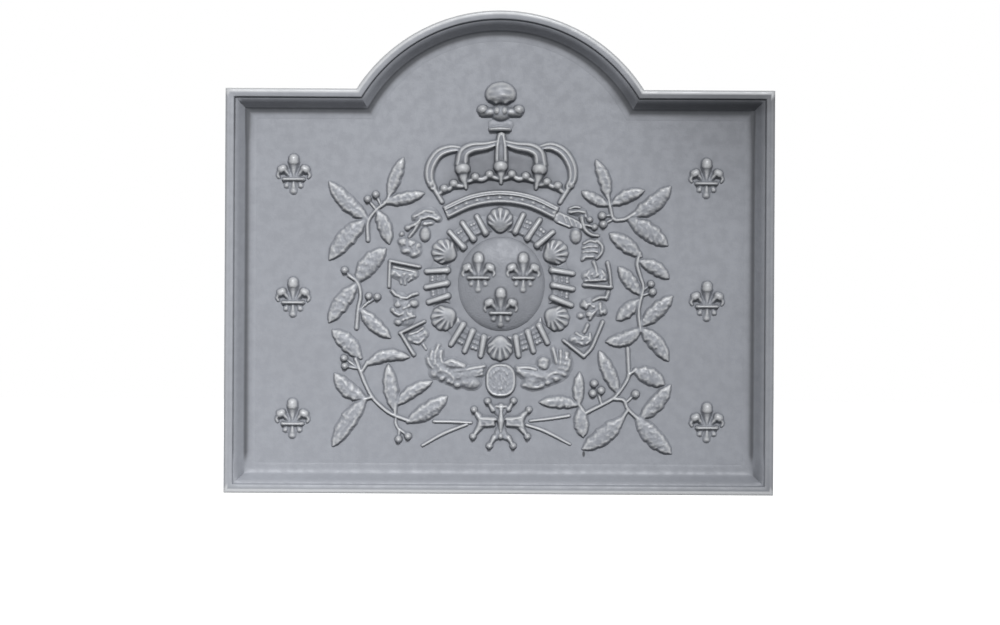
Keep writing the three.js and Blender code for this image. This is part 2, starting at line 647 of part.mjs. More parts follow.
function laurels() {
  return {
    laurel_left_top: joined([
      stem([-144, 119], [-151, 106], [-163, 96], [-174, 80], [-174, 56]),
      leaf([-174, 83], [-225, 132], 23, 3),
      leaf([-147, 113], [-128.5, 164], 18, 1),
      leaf([-153, 106], [-101, 118], 18, -1),
      leaf([-162, 95], [-146, 52], 20, 2),
      leaf([-177, 83], [-224, 31], 26, -3),
      stalk([-174.5, 110], [-164, 97]),
      stalk([-164, 116], [-157, 102]),
      berry([-174.5, 110]),
      berry([-164, 116]),
    ]),
    laurel_left_middle: joined([
      stem([-198, 9], [-187, 0], [-183, -17], [-186, -35], [-188, -60]),
      stalk([-184, -36], [-172, -25]),
      leaf([-188, 1], [-151, 44], 27, 3),
      leaf([-188, -2], [-224, -52], 23, -2),
      leaf([-183, -35], [-144, -72], 20, -2),
      stalk([-204, 16], [-196, 7]),
      stalk([-172, -18], [-172, -26]),
      stalk([-161, -19], [-172, -26]),
      berry([-204, 16]),
      berry([-172, -18]),
      berry([-161, -19]),
    ]),
    laurel_left_lower: joined([
      stem(
        [-189, -99], [-182, -117], [-176, -132], [-167, -149],
        [-156, -160.5], [-145, -169], [-135, -174], [-118, -180],
      ),
      leaf([-183, -97], [-219, -62], 24, -2),
      leaf([-175, -106], [-119, -96], 18, 7),
      leaf([-176, -151], [-216, -119], 23, 5),
      leaf([-176, -151], [-218, -213], 24, -2),
      leaf([-137, -167], [-146, -107], 21, 1),
      leaf([-136, -159], [-89, -128], 18, 3),
      leaf([-120, -181], [-69, -148], 24, -2),
      stem([-182, -117], [-173, -103]),
      stem([-167, -149], [-178, -152]),
      stem([-137, -172], [-136, -157]),
      stalk([-135, -174], [-136, -183], [-131, -193]),
      stalk([-204, -98], [-184, -112]),
      stalk([-203, -108], [-184, -112]),
      stalk([-132, -204], [-131, -191]),
      stalk([-119.5, -200], [-131, -191]),
      berry([-204, -98]),
      berry([-203, -108]),
      berry([-132, -204]),
      berry([-119.5, -200]),
    ]),
    laurel_right_top: joined([
      stem([142, 117], [145, 102], [149.5, 86], [160, 85], [167, 87], [178, 94]),
      leaf([143, 104], [108, 121.5], 16, 1),
      leaf([142, 113], [126.5, 163], 18, -3),
      leaf([147, 105], [189, 123.5], 19, 2),
      leaf([174, 89], [224, 128.5], 24, -4),
      leaf([170, 86], [220, 52], 26, 1),
      stalk([134.5, 90], [148, 91]),
      stalk([136, 79], [151.5, 87]),
      berry([134.5, 90], LARGE_BERRY_RADIUS),
      berry([136, 79], LARGE_BERRY_RADIUS),
    ]),
    laurel_right_middle: joined([
      stem([182, 43], [179, 28], [183, 12], [187, -1], [185, -13], [181, -33], [184, -60]),
      leaf([183, 39], [143, 68], 22, -1),
      leaf([182, 32], [220, 10], 20, 3),
      leaf([183, -11], [155, 24], 20, 0),
      leaf([181, -19], [153, -45], 20, 0),
      leaf([184, -53], [225, -14], 22, 0),
      leaf([184, -57], [139, -74], 21, 5),
      leaf([184, -56], [220, -98], 22, 3),
      stalk([197, 2], [186, -7]),
      stalk([199, -8], [186, -13]),
      berry([197, 2]),
      berry([199, -8], LARGE_BERRY_RADIUS),
    ]),
    laurel_right_lower: joined([
      stem(
        [167, -83], [168, -105], [168, -120], [160.5, -134],
        [150, -147], [137, -155], [121.5, -163], [110, -169],
      ),
      leaf([155, -142], [130, -87], 20, 0),
      leaf([176, -112], [215, -130], 25, 2),
      leaf([184, -176], [223, -131], 22, -2),
      leaf([161, -174], [109, -215], 25, 3),
      leaf([179, -173], [224, -220], 26, -2),
      leaf([103, -159], [104, -115], 16, 1),
      leaf([103, -157], [52, -154], 18, -2),
      leaf([104, -162], [109, -199], 21, 0),
      stem([149, -149], [162, -151], [168, -163], [184, -178]),
      stem([168, -163], [160, -175]),
      stem([168, -118], [178, -110]),
      stem([112, -169], [102, -155]),
      stalk([123, -130], [127, -137], [133, -156]),
      stalk([177.5, -142.5], [166, -153]),
      berry([123, -129], LARGE_BERRY_RADIUS),
      berry([132, -138], LARGE_BERRY_RADIUS),
      berry([122, -141.5], LARGE_BERRY_RADIUS),
      berry([177.5, -142.5], LARGE_BERRY_RADIUS),
    ]),
  };
}

// The bare ends of the stems, which cross under the shield behind the cross.
function stemEnds() {
  const ends = {
    stem_end_left_upper: [[[-87, -180.5], [-60, -180.5], [-38, -181.5]], [7, 6, 5]],
    stem_end_left_lower: [[[-101, -214], [-72, -198], [-42, -186]], [4, 6, 5]],
    stem_end_right_upper: [[[38, -180], [64, -177], [89, -172.5]], [5, 6, 7]],
    stem_end_right_lower: [[[34, -185], [58, -193], [91, -209]], [5, 6, 4]],
  };
  const solids = {};
  for (const [name, [points, widths]] of Object.entries(ends)) {
    solids[name] = freehand(points, widths, STEM_RISE, ROUNDED, 3);
  }
  return solids;
}

// ---------------------------------------------------------------- assembly

const CAST_IRON = { color: 0x8a8c92, roughness: 0.55, metalness: 0.6 };

function mesh(name, body) {
  const { vertProperties, triVerts } = body.getMesh();
  const geometry = new THREE.BufferGeometry();
  geometry.setAttribute('position', new THREE.BufferAttribute(vertProperties, 3));
  geometry.setIndex(new THREE.BufferAttribute(triVerts, 1));
  geometry.computeVertexNormals();
  const node = new THREE.Mesh(geometry, new THREE.MeshStandardMaterial(CAST_IRON));
  node.name = name;
  return node;
}

const solids = {
  ground_plate: groundPlate(),
  rim_moulding: rimMoulding(),
  ...fieldFleurs(),
  shield_with_fleurs: shield(),
  ...collar(),
  crown_band: crownBand(),
  crown_arches: crownArches(),
  crown_finial: crownFinial(),
  ...outerCollar(),
  medallion: medallion(),
  cross_with_dove: crossWithDove(),
  ...swags(),
  ...laurels(),
  ...stemEnds(),
};

// The back of the plate and the face of the rim lie the same distance either side of Y = 0.
const fireback = new THREE.Group();
fireback.position.y = (RIM_RISE - PLATE_THICKNESS) / 2;
for (const [name, body] of Object.entries(solids)) fireback.add(mesh(name, body));

export default fireback;
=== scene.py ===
import math
import random

import bmesh
import bpy
import numpy as np
from bpy.props import FloatProperty, FloatVectorProperty, PointerProperty
from mathutils import Matrix, Vector, noise


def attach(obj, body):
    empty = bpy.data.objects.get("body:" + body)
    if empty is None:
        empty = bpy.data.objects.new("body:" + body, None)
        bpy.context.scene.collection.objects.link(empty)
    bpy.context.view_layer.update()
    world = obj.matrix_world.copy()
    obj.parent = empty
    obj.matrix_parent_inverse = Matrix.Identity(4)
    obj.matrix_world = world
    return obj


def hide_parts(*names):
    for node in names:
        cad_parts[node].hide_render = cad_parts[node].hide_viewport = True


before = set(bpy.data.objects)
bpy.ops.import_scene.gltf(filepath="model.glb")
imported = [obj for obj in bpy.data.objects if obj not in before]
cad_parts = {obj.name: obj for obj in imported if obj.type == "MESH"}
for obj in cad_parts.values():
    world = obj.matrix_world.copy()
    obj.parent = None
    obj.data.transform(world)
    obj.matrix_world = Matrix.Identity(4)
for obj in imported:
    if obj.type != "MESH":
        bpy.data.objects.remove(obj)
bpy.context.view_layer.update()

bl_info = {
    "name": "Cast-iron fireback",
    "version": (1, 0, 0),
    "blender": (4, 5, 0),
    "location": "View3D > Sidebar > Fireback",
    "description": "An arched cast-iron fireback with a crowned shield between two laurel branches",
    "category": "Add Mesh",
}

MM = 0.001

# The frame's Y runs from the face of the rim to the back of the plate, and the field lies half-way.
FIELD_Y = 0.0
SUNK = 0.35          # how deep the back of an ornament lies in the plate, mm
GRID = 0.7           # distance between neighbouring points of the relief, mm
BARE = 0.02          # a height under this is bare field, mm


# ------------------------ sizes and colours

def linear(code):
    """A colour written as six hex digits, made linear."""
    channels = [int(code[i:i + 2], 16) / 255 for i in (0, 2, 4)]
    return tuple(
        c / 12.92 if c <= 0.04045 else ((c + 0.055) / 1.055) ** 2.4 for c in channels) + (1.0,)


class FirebackSizes(bpy.types.PropertyGroup):
    relief: FloatProperty(
        name="Relief", description="How much fuller the carving stands than its drawn heights",
        default=1.22, min=0.5, max=1.4)
    softness: FloatProperty(
        name="Softness", description="How far the sand rounds off the forms of the relief, mm",
        default=0.7, min=0.3, max=2.0)
    grain: FloatProperty(
        name="Grain", description="Height of the skin left on the iron by the sand, mm",
        default=0.22, min=0.0, max=0.6)
    edge_radius: FloatProperty(
        name="Edge radius", description="Rounding of the rim's outer edge",
        default=0.0038, min=0.001, max=0.006, unit="LENGTH", subtype="DISTANCE")
    back_radius: FloatProperty(
        name="Back edge radius", description="Rounding of the edge round the back of the plate",
        default=0.0022, min=0.0005, max=0.005, unit="LENGTH", subtype="DISTANCE")


class FirebackColours(bpy.types.PropertyGroup):
    skin: FloatVectorProperty(
        name="Iron skin", description="Colour of the flat, rubbed graphite skin",
        default=linear("91949B"), size=4, min=0, max=1, subtype="COLOR")
    # The crests get this colour, partly as rubbing and partly as a painted highlight.
    raised: FloatVectorProperty(
        name="Raised iron", description="Colour of the crests, which are rubbed brightest",
        default=linear("BCBEC1"), size=4, min=0, max=1, subtype="COLOR")
    # This colour is painted shade: in hollows, corners, undersides, the rim's foot and the shade ovals.
    hollow: FloatVectorProperty(
        name="Hollow iron", description="Colour of the dark blacking left in the corners",
        default=linear("3F4145"), size=4, min=0, max=1, subtype="COLOR")


def sizes():
    return bpy.context.scene.fireback_sizes


def colours():
    return bpy.context.scene.fireback_colours


# ------------------------ relief as heights over the field
# A piece of relief is a patch of points over the field. Each form gives a height at every point, and
# forms of one piece run together as they do in a casting.

class Patch:
    """The points of one ornament's patch, in mm, and the heights worked out over them."""

    def __init__(self, left, right, low, high, margin=3.0):
        self.left, self.low = left - margin, low - margin
        self.columns = int(math.ceil((right - left + 2 * margin) / GRID)) + 1
        self.rows = int(math.ceil((high - low + 2 * margin) / GRID)) + 1
        self.x, self.z = np.meshgrid(
            self.left + GRID * np.arange(self.columns), self.low + GRID * np.arange(self.rows))
        self.height = np.zeros_like(self.x)

    def add(self, height, blend=0.6):
        """Lays a form on the patch; where it meets what is there, the join is filleted."""
        a, b = self.height, np.clip(height, 0, None)
        overlap = np.clip(blend - np.abs(a - b), 0, None) / blend
        both = (a > BARE) & (b > BARE)
        self.height = np.maximum(a, b) + np.where(both, overlap ** 2 * blend * 0.25, 0)

    def lay(self, *forms):
        """Lays bands, given as (points, widths, rises, profile), and domes, given as (centre, half
        width, half height, rise, profile). A profile that isn't given is rounded."""
        for form in forms:
            self.add((band if isinstance(form[0], list) else dome)(self, *form))

    def roughen(self, amount, size, seed, full):
        """Makes the relief as lumpy as hand carving is, wholly so where it stands that high."""
        lumpy = amount * lumps(self, size, seed) * np.clip(self.height / full, 0, 1)
        self.height = np.where(self.height > BARE, self.height + lumpy, self.height)

    def blur(self, array, sigma):
        reach = max(1, int(math.ceil(3 * sigma / GRID)))
        weights = np.exp(-0.5 * (np.arange(-reach, reach + 1) * GRID / sigma) ** 2)
        weights /= weights.sum()
        for axis in (0, 1):
            padded = np.pad(array, [(reach, reach) if a == axis else (0, 0) for a in (0, 1)], "edge")
            array = sum(
                w * np.take(padded, range(i, i + array.shape[axis]), axis)
                for i, w in enumerate(weights))
        return array


def smooth_line(points, count=48):
    """A smooth line through the points, as an array of positions and of places 0 to 1 along it."""
    points = np.array(points, float)
    if len(points) == 2:
        t = np.linspace(0, 1, count)[:, None]
        return points[0] * (1 - t) + points[1] * t, t[:, 0]
    ends = np.vstack([2 * points[0] - points[1], points, 2 * points[-1] - points[-2]])
    parts = []
    per = max(6, count // (len(points) - 1))
    for i in range(1, len(ends) - 2):
        p0, p1, p2, p3 = ends[i - 1:i + 3]
        t = np.linspace(0, 1, per, endpoint=False)[:, None]
        parts.append(0.5 * (2 * p1 + (p2 - p0) * t + (2 * p0 - 5 * p1 + 4 * p2 - p3) * t ** 2
                            + (3 * p1 - p0 - 3 * p2 + p3) * t ** 3))
    line = np.vstack(parts + [points[-1:]])
    length = np.concatenate([[0], np.cumsum(np.hypot(*np.diff(line, axis=0).T))])
    return line, length / length[-1]


def along(patch, points, count=48):
    """For every point of the patch: its place along the line, its distance and on which side."""
    line, place = smooth_line(points, count)
    total = np.hypot(*np.diff(line, axis=0).T).sum()
    best = np.full(patch.x.shape, 1e9)
    where = np.zeros_like(best)
    side = np.ones_like(best)
    for (ax, az), (bx, bz), s0, s1 in zip(line[:-1], line[1:], place[:-1], place[1:]):
        dx, dz = bx - ax, bz - az
        size = max(dx * dx + dz * dz, 1e-9)
        t = np.clip(((patch.x - ax) * dx + (patch.z - az) * dz) / size, 0, 1)
        ox, oz = patch.x - ax - t * dx, patch.z - az - t * dz
        distance = np.hypot(ox, oz)
        near = distance < best
        best = np.where(near, distance, best)
        where = np.where(near, s0 + (s1 - s0) * t, where)
        side = np.where(near, np.sign(dx * oz - dz * ox + 1e-12), side)
    return where, best, side, total


def spread(values, place):
    values = np.atleast_1d(np.array(values, float))
    return np.interp(place, np.linspace(0, 1, len(values)), values)


def rounded(across):
    return np.clip(1 - across ** 2, 0, None) ** 0.7


def ball(across):
    return np.sqrt(np.clip(1 - across ** 2, 0, None))


def swell(across):
    return np.clip(1 - across ** 2, 0, None) ** 1.1


def double_ridge(across):
    two = np.exp(-((np.abs(across) - 0.55) / 0.30) ** 2)
    body = np.clip(1 - np.abs(across) ** 4, 0, None) ** 0.8
    return body * (0.70 + 0.30 * two)


def flat_top(across):
    return np.clip(1 - np.abs(across) ** 5, 0, None) ** 0.6


def band(patch, points, widths, rise, profile=rounded):
    """A strip of relief along a line, with rounded ends."""
    place, distance, _, _ = along(patch, points)
    half = np.maximum(spread(widths, place) / 2, 0.3)
    return spread(rise, place) * profile(np.clip(distance / half, 0, 1))


def dome(patch, centre, half_width, half_height, rise, profile=rounded):
    across = np.hypot((patch.x - centre[0]) / half_width, (patch.z - centre[1]) / half_height)
    return rise * profile(np.clip(across, 0, 1))


def lumps(patch, scale, seed):
    """Uneven hand-carved swelling from -1 to 1 over about the given distance, the same every time."""
    generator = np.random.RandomState(seed)
    value = np.zeros_like(patch.x)
    for _ in range(7):
        angle, phase = generator.uniform(0, 2 * math.pi, 2)
        wave = 2 * math.pi / (scale * generator.uniform(0.75, 1.5))
        value += np.sin(wave * (patch.x * math.cos(angle) + patch.z * math.sin(angle)) + phase)
    return value / 3.2


# How far each ornament sits from its drawn place on the pattern board, across and up, in mm.
SETTLED = {
    "field_fleur_left_middle": (0, -1.2), "field_fleur_right_top": (0.5, -2.8),
    "field_fleur_right_middle": (2, -3.8), "field_fleur_right_bottom": (2.6, -2.6),
    "collar_shell_top": (0.7, 0), "collar_shell_upper_right": (1.2, -0.3),
    "collar_shell_lower_right": (3, -3), "collar_shell_bottom": (1.2, -1),
    "collar_shell_lower_left": (-0.4, -3.4), "crown_band": (1.6, -0.4), "crown_arches": (1.4, -0.8),
    "crown_finial": (0.5, -0.6), "outer_plume_left": (1, -0.4), "outer_pendant_left": (0.6, -1.4),
    "outer_feather_left": (-0.7, -0.7), "outer_knot_left": (0, -1), "outer_trophy_left_lower": (1, 0),
    "outer_staff_right": (2, -0.8), "outer_hook_right": (1.6, -0.7), "outer_feather_right": (1.6, -0.9),
    "outer_frame_right_upper": (2, -0.9), "outer_trophy_right_upper": (1.7, -0.9),
    "outer_knot_right": (1, -1.3), "outer_frame_right_lower": (1.9, -1.6),
    "outer_trophy_right_lower": (2.2, -1.3), "medallion": (0.9, -1.1), "cross_with_dove": (1.6, -1.6),
    "swag_left": (0.5, -2), "swag_right": (1.8, -2), "laurel_left_top": (1, 0.4),
    "laurel_left_middle": (0.6, 0.8), "laurel_left_lower": (0.6, -0.7), "laurel_right_middle": (2.1, -1.4),
    "laurel_right_lower": (2.1, -1.3), "stem_end_left_upper": (2, -1.2),
    "stem_end_right_upper": (3.4, -0.9), "stem_end_right_lower": (2.8, -1.3),
}


# ------------------------ one ornament as a mesh

THINNEST = 0.05      # lower relief than this is left out, mm
CREST_REACH = 2.2    # how far round it a point's height is compared, mm
CREST_RISE = 1.1     # what makes a full crest there, mm


def placed(name, data):
    thing = bpy.data.objects.new(name, data)
    bpy.context.collection.objects.link(thing)
    return thing


def casting(name, bm):
    """Makes the mesh a smooth-shaded piece of cast iron that stands for the node of its name."""
    bmesh.ops.recalc_face_normals(bm, faces=bm.faces)
    mesh = bpy.data.meshes.new(name)
    bm.to_mesh(mesh)
    bm.free()
    mesh.polygons.foreach_set("use_smooth", [True] * len(mesh.polygons))
    mesh.materials.append(iron())
    piece = placed(name, mesh)
    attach(piece, "root")
    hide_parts(name)
    return piece


def relief_piece(node, patch):
    """Turns a patch into a closed body whose flat back lies just inside the plate."""
    heights = patch.blur(patch.height * sizes().relief, sizes().softness)
    heights = np.where(heights > THINNEST, heights, 0)
    across, up = SETTLED.get(node, (0, 0))
    patch.left, patch.low = patch.left + across, patch.low + up
    width, height = GRID * (patch.columns - 1), GRID * (patch.rows - 1)
    middle = Vector(((patch.left + width / 2) * MM, FIELD_Y, (patch.low + height / 2) * MM))
    bm = bmesh.new()
    bmesh.ops.create_grid(
        bm, x_segments=patch.columns - 1, y_segments=patch.rows - 1, size=0.5,
        matrix=Matrix.LocRotScale(
            middle, Matrix.Rotation(math.pi / 2, 3, "X"), Vector((width * MM, height * MM, 1))))
    # A crest stands over the mean of what lies round it, and a hollow lies under it. The material paints
    # crests pale, partly as rubbing and partly as a painted highlight, and hollows dark as painted shade.
    crests = (heights - patch.blur(heights, CREST_REACH)) / CREST_RISE
    high_enough = np.clip((heights - 1.5) / 3, 0, 1)
    crests = np.clip(np.where(crests < 0, crests * high_enough, crests), -1, 1)
    crest = bm.verts.layers.float.new("crest")
    bare = []
    for vertex in bm.verts:
        column = round((vertex.co.x / MM - patch.left) / GRID)
        row = round((vertex.co.z / MM - patch.low) / GRID)
        height = heights[row, column]
        if height <= 0:
            bare.append(vertex)
            continue
        vertex[crest] = crests[row, column]
        grain = noise.noise(vertex.co * 520) + 0.6 * noise.noise(vertex.co * 1150)
        vertex.co.y = FIELD_Y - (height + sizes().grain * grain * min(1, height)) * MM
    bmesh.ops.delete(bm, geom=bare, context="VERTS")
    bmesh.ops.delete(bm, geom=[v for v in bm.verts if not v.link_faces], context="VERTS")
    skirt = bmesh.ops.extrude_face_region(bm, geom=bm.faces[:], use_keep_orig=True)
    for item in skirt["geom"]:
        if isinstance(item, bmesh.types.BMVert):
            item.co.y = FIELD_Y + SUNK * MM
    casting(node, bm)


# ------------------------ material

def add_node(tree, kind, inputs=(), out=0, **settings):
    """Adds a node, sets its properties, sets or links its inputs, and gives back one output."""
    node = tree.nodes.new("ShaderNode" + kind)
    for name, value in settings.items():
        setattr(node, name, value)
    for name, value in inputs.items() if isinstance(inputs, dict) else enumerate(inputs):
        if isinstance(value, bpy.types.NodeSocket):
            tree.links.new(value, node.inputs[name])
        else:
            node.inputs[name].default_value = value
    return node.outputs[out] if node.outputs else None


def new_material(name):
    material = bpy.data.materials.new(name)
    material.use_nodes = True
    material.node_tree.nodes.clear()
    return material, material.node_tree


# Ovals of painted shade: middle x and z, half width and half height in metres, the share of the
# radius as far as which it is full, and its depth. It fades out over a hand's breadth in the upper
# right corner, and lies down the right side, inside the crown, round the shield and under the upper
# rim. The last is a small dark spot painted for a casting pit, which the mesh doesn't sink.
PAINTED_SHADE = (
    (0.37, 0.57, 0.26, 0.26, 0.08, 0.56), (0.40, 0.22, 0.10, 0.42, 0.40, 0.26),
    (0.38, -0.02, 0.36, 0.08, 0.30, 0.22), (0.0, 0.418, 0.088, 0.036, 0.60, 0.42),
    (0.0026, 0.262, 0.060, 0.055, 0.50, 0.10), (0.0014, 0.275, 0.104, 0.104, 0.85, 0.13),
    (0.27, 0.52, 0.15, 0.03, 0.6, 0.5), (0.112, 0.052, 0.0024, 0.0052, 0.5, 0.95),
)


def iron():
    """Graphite-blackened grey iron, sand cast and rubbed: a dull bluish grey with a satin sheen, a
    fine pebbled skin from the sand, soft cloudy patches of blacking, painted shade in the hollows, the
    corners between pieces, on undersides and in broad ovals, and pale crests that are partly rubbed and
    partly a painted highlight."""
    if "Cast iron" in bpy.data.materials:
        return bpy.data.materials["Cast iron"]
    material, tree = new_material("Cast iron")
    place = add_node(tree, "TexCoord", out="Object")
    # The mesh says where it is a crest, from 0 to 1, or a hollow, from 0 to -1.
    crest = add_node(tree, "Attribute", out="Fac", attribute_name="crest")
    smooth = {"interpolation_type": "SMOOTHSTEP"}
    chosen = colours()
    skin, raised, hollow = tuple(chosen.skin), tuple(chosen.raised), tuple(chosen.hollow)

    # Clouds of blacking a hand's breadth across, and blotches of a finger's width within them.
    clouds = add_node(tree, "TexNoise", {"Vector": place, "Scale": 9, "Detail": 3, "Roughness": 0.55})
    clouds = add_node(tree, "MapRange", (clouds, 0.32, 0.68, 0.0, 0.30), **smooth)
    blotches = add_node(tree, "TexNoise", {"Vector": place, "Scale": 70, "Detail": 4, "Roughness": 0.6})
    blotches = add_node(tree, "MapRange", (blotches, 0.35, 0.65), **smooth)
    dim = add_node(tree, "Math", (blotches, 0.20), operation="MULTIPLY")
    layers = [(clouds, tuple(c * 1.18 for c in skin[:3]) + (1,)),
              (dim, tuple(c * 0.72 for c in skin[:3]) + (1,))]

    # The painted shade ovals lie on the face and its relief, and not on the back.
    depth_in = add_node(tree, "SeparateXYZ", (place,), out="Y")
    face = add_node(tree, "MapRange", (depth_in, 0.003, 0.009, 1.0, 0.0), **smooth)
    for x, z, half_width, half_height, start, depth in PAINTED_SHADE:
        away = add_node(tree, "VectorMath", (place, (x, 0, z)), operation="SUBTRACT")
        away = add_node(tree, "VectorMath", (away, (1 / half_width, 0, 1 / half_height)),
                        operation="MULTIPLY")
        away = add_node(tree, "VectorMath", (away,), out="Value", operation="LENGTH")
        shade_patch = add_node(tree, "MapRange", (away, start, 1.0, depth, 0.0), **smooth)
        layers.append((add_node(tree, "Math", (shade_patch, face), operation="MULTIPLY"), hollow))

    # Crests are painted pale, partly as rubbing and partly as a painted highlight. Painted shade darkens the
    # hollows, the corners between pieces, from ambient occlusion, and every underside, from the normal
    # looking down.
    layers.append((add_node(tree, "MapRange", (crest, 0.05, 0.8), **smooth), raised))
    layers.append((add_node(tree, "MapRange", (crest, -1.6, -0.1, 0.85, 0.0), **smooth), hollow))
    corner = add_node(tree, "AmbientOcclusion", {"Distance": 20 * MM}, out="AO", samples=8)
    corner = add_node(tree, "MapRange", (corner, 0.25, 0.93, 0.52, 0.0), **smooth)
    not_crest = add_node(tree, "MapRange", (crest, 0.0, 0.7, 1.0, 0.0), **smooth)
    corner = add_node(tree, "Math", (corner, not_crest), operation="MULTIPLY")
    under = add_node(tree, "SeparateXYZ", (add_node(tree, "NewGeometry", out="Normal"),), out="Z")
    under = add_node(tree, "MapRange", (under, -0.85, -0.15, 0.54, 0.0), **smooth)
    not_edge = add_node(tree, "MapRange", (crest, 0.7, 0.9, 1.0, 0.0), **smooth)
    under = add_node(tree, "Math", (under, not_edge), operation="MULTIPLY")
    painted_shade = add_node(tree, "Math", (corner, under), operation="MAXIMUM")
    layers.append((painted_shade, hollow))
    colour = skin
    for factor, tint in layers:
        colour = add_node(tree, "Mix", {0: factor, 6: colour, 7: tint}, out=2, data_type="RGBA")

    # The sand's own grain, about a millimetre and about a third of one. The back was the open side of
    # the mould: it froze in soft waves, coarser than the face.
    pebbles = add_node(tree, "TexNoise", {"Vector": place, "Scale": 160, "Detail": 3, "Roughness": 0.55})
    waves = add_node(tree, "TexNoise", {"Vector": place, "Scale": 45, "Detail": 5, "Roughness": 0.62})
    back = add_node(tree, "MapRange", (depth_in, 0.012, 0.0188), **smooth)
    waves = add_node(tree, "Math", (waves, back), operation="MULTIPLY")
    grit = add_node(tree, "TexNoise", {"Vector": place, "Scale": 950, "Detail": 3, "Roughness": 0.6})
    bump = add_node(tree, "Bump", {"Height": pebbles, "Strength": 0.35, "Distance": 0.6 * MM})
    for height, strength, depth in ((waves, 0.7, 5 * MM), (grit, 0.45, 0.3 * MM)):
        bump = add_node(tree, "Bump", {
            "Height": height, "Strength": strength, "Distance": depth, "Normal": bump})

    # Cloth and brush have smoothed the crests a little.
    sheen = add_node(tree, "MapRange", (blotches, 0.0, 1.0, 0.52, 0.62), **smooth)
    rubbed = add_node(tree, "MapRange", (crest, 0.2, 0.9, 0.0, 0.12), **smooth)
    sheen = add_node(tree, "Math", (sheen, rubbed), operation="SUBTRACT")
    # Where shade is painted, the reflection is dimmed as well.
    gloss = add_node(tree, "MapRange", (painted_shade, 0.0, 0.5, 0.45, 0.05), **smooth)
    shader = add_node(tree, "BsdfPrincipled", {
        "Base Color": colour, "Metallic": 0.12, "Roughness": sheen, "Specular IOR Level": gloss,
        "Normal": bump})
    add_node(tree, "OutputMaterial", {"Surface": shader})
    return material


# ------------------------ plate and rim

# Lengths in mm: the outline, then the rise of the rim over the field and the plate's depth behind it.
HALF_WIDTH, SHOULDER, ARCH_CENTRE, ARCH_RADIUS = 359.0, 529.0, 409.0, 223.0
RIM_RISE, PLATE = 19.0, 19.0
FAINT_SHADE_UP_TO, SHADED_FROM = 32, 455      # heights below which the painted shade at the rim's foot fades and from which it deepens
SHARP = math.radians(42)                 # an edge that turns by more is shaded sharp


def outline(inset, arch_steps=72, spacing=9.0):
    """The plate's outline moved inwards, in mm, counter-clockwise from the lower left."""
    side, shoulder, radius = HALF_WIDTH - inset, SHOULDER - inset, ARCH_RADIUS - inset
    start = math.asin((shoulder - ARCH_CENTRE) / radius)
    arch = [start + (math.pi - 2 * start) * i / arch_steps for i in range(arch_steps + 1)]
    curve = [(radius * math.cos(a), ARCH_CENTRE + radius * math.sin(a)) for a in arch]
    points = list(curve)
    corners = [curve[-1], (-side, shoulder), (-side, inset), (side, inset), (side, shoulder), curve[0]]
    # These only set how many points each side gets, the same for every inset.
    lengths = [ARCH_RADIUS, SHOULDER, 2 * HALF_WIDTH, SHOULDER, ARCH_RADIUS]
    for (ax, az), (bx, bz), length in zip(corners, corners[1:], lengths):
        steps = int(length / spacing)
        for i in range(1, steps + 1):
            points.append((ax + (bx - ax) * i / steps, az + (bz - az) * i / steps))
    return points[:-1]


def paint_light_and_shade(worn, z):
    """Edges that look up or down get a painted highlight, three times the pale crest, and the painted
    shade at the rim's foot is deepest along the upper rim and faint along the bottom."""
    if worn < 0:
        foot_shade_share = min(max((z - FAINT_SHADE_UP_TO) / 20, 0.1), 1)
        return worn * (foot_shade_share + 0.5 * min(max((z - SHADED_FROM) / 30, 0), 1))
    looks_up_or_down = worn > 0.25 and not 4 < z < SHOULDER - 8
    return min(worn * 3, 1) if looks_up_or_down else worn


def swept(bm, section):
    """Draws the outline through a section of (distance in, rise, crest), and returns both end loops."""
    place = bm.verts.layers.int.new("place")
    crest = bm.verts.layers.float.new("crest")
    inset, rise, worn = section[0]
    verts = [bm.verts.new((x * MM, -rise * MM, z * MM)) for x, z in outline(inset)]
    for i, vert in enumerate(verts):
        vert[place], vert[crest] = i, paint_light_and_shade(worn, vert.co.z / MM)
    first = loop = [bm.edges.new((verts[i - 1], verts[i])) for i in range(len(verts))]
    for inset, rise, worn in section[1:]:
        made = bmesh.ops.extrude_edge_only(bm, edges=loop)["geom"]
        fresh = {v for v in made if isinstance(v, bmesh.types.BMVert)}
        loop = [e for e in made if isinstance(e, bmesh.types.BMEdge) and set(e.verts) <= fresh]
        points = outline(inset)
        for vert in fresh:
            x, z = points[vert[place]]
            vert.co = (x * MM, -rise * MM, z * MM)
            vert[crest] = paint_light_and_shade(worn, z)
    return first, loop


def rounding(radius, steps):
    """A quarter round, as distances in and drops from its top, in steps."""
    for i in range(steps + 1):
        turn = math.pi / 2 * i / steps
        yield radius * (1 - math.cos(turn)), radius * (1 - math.sin(turn))


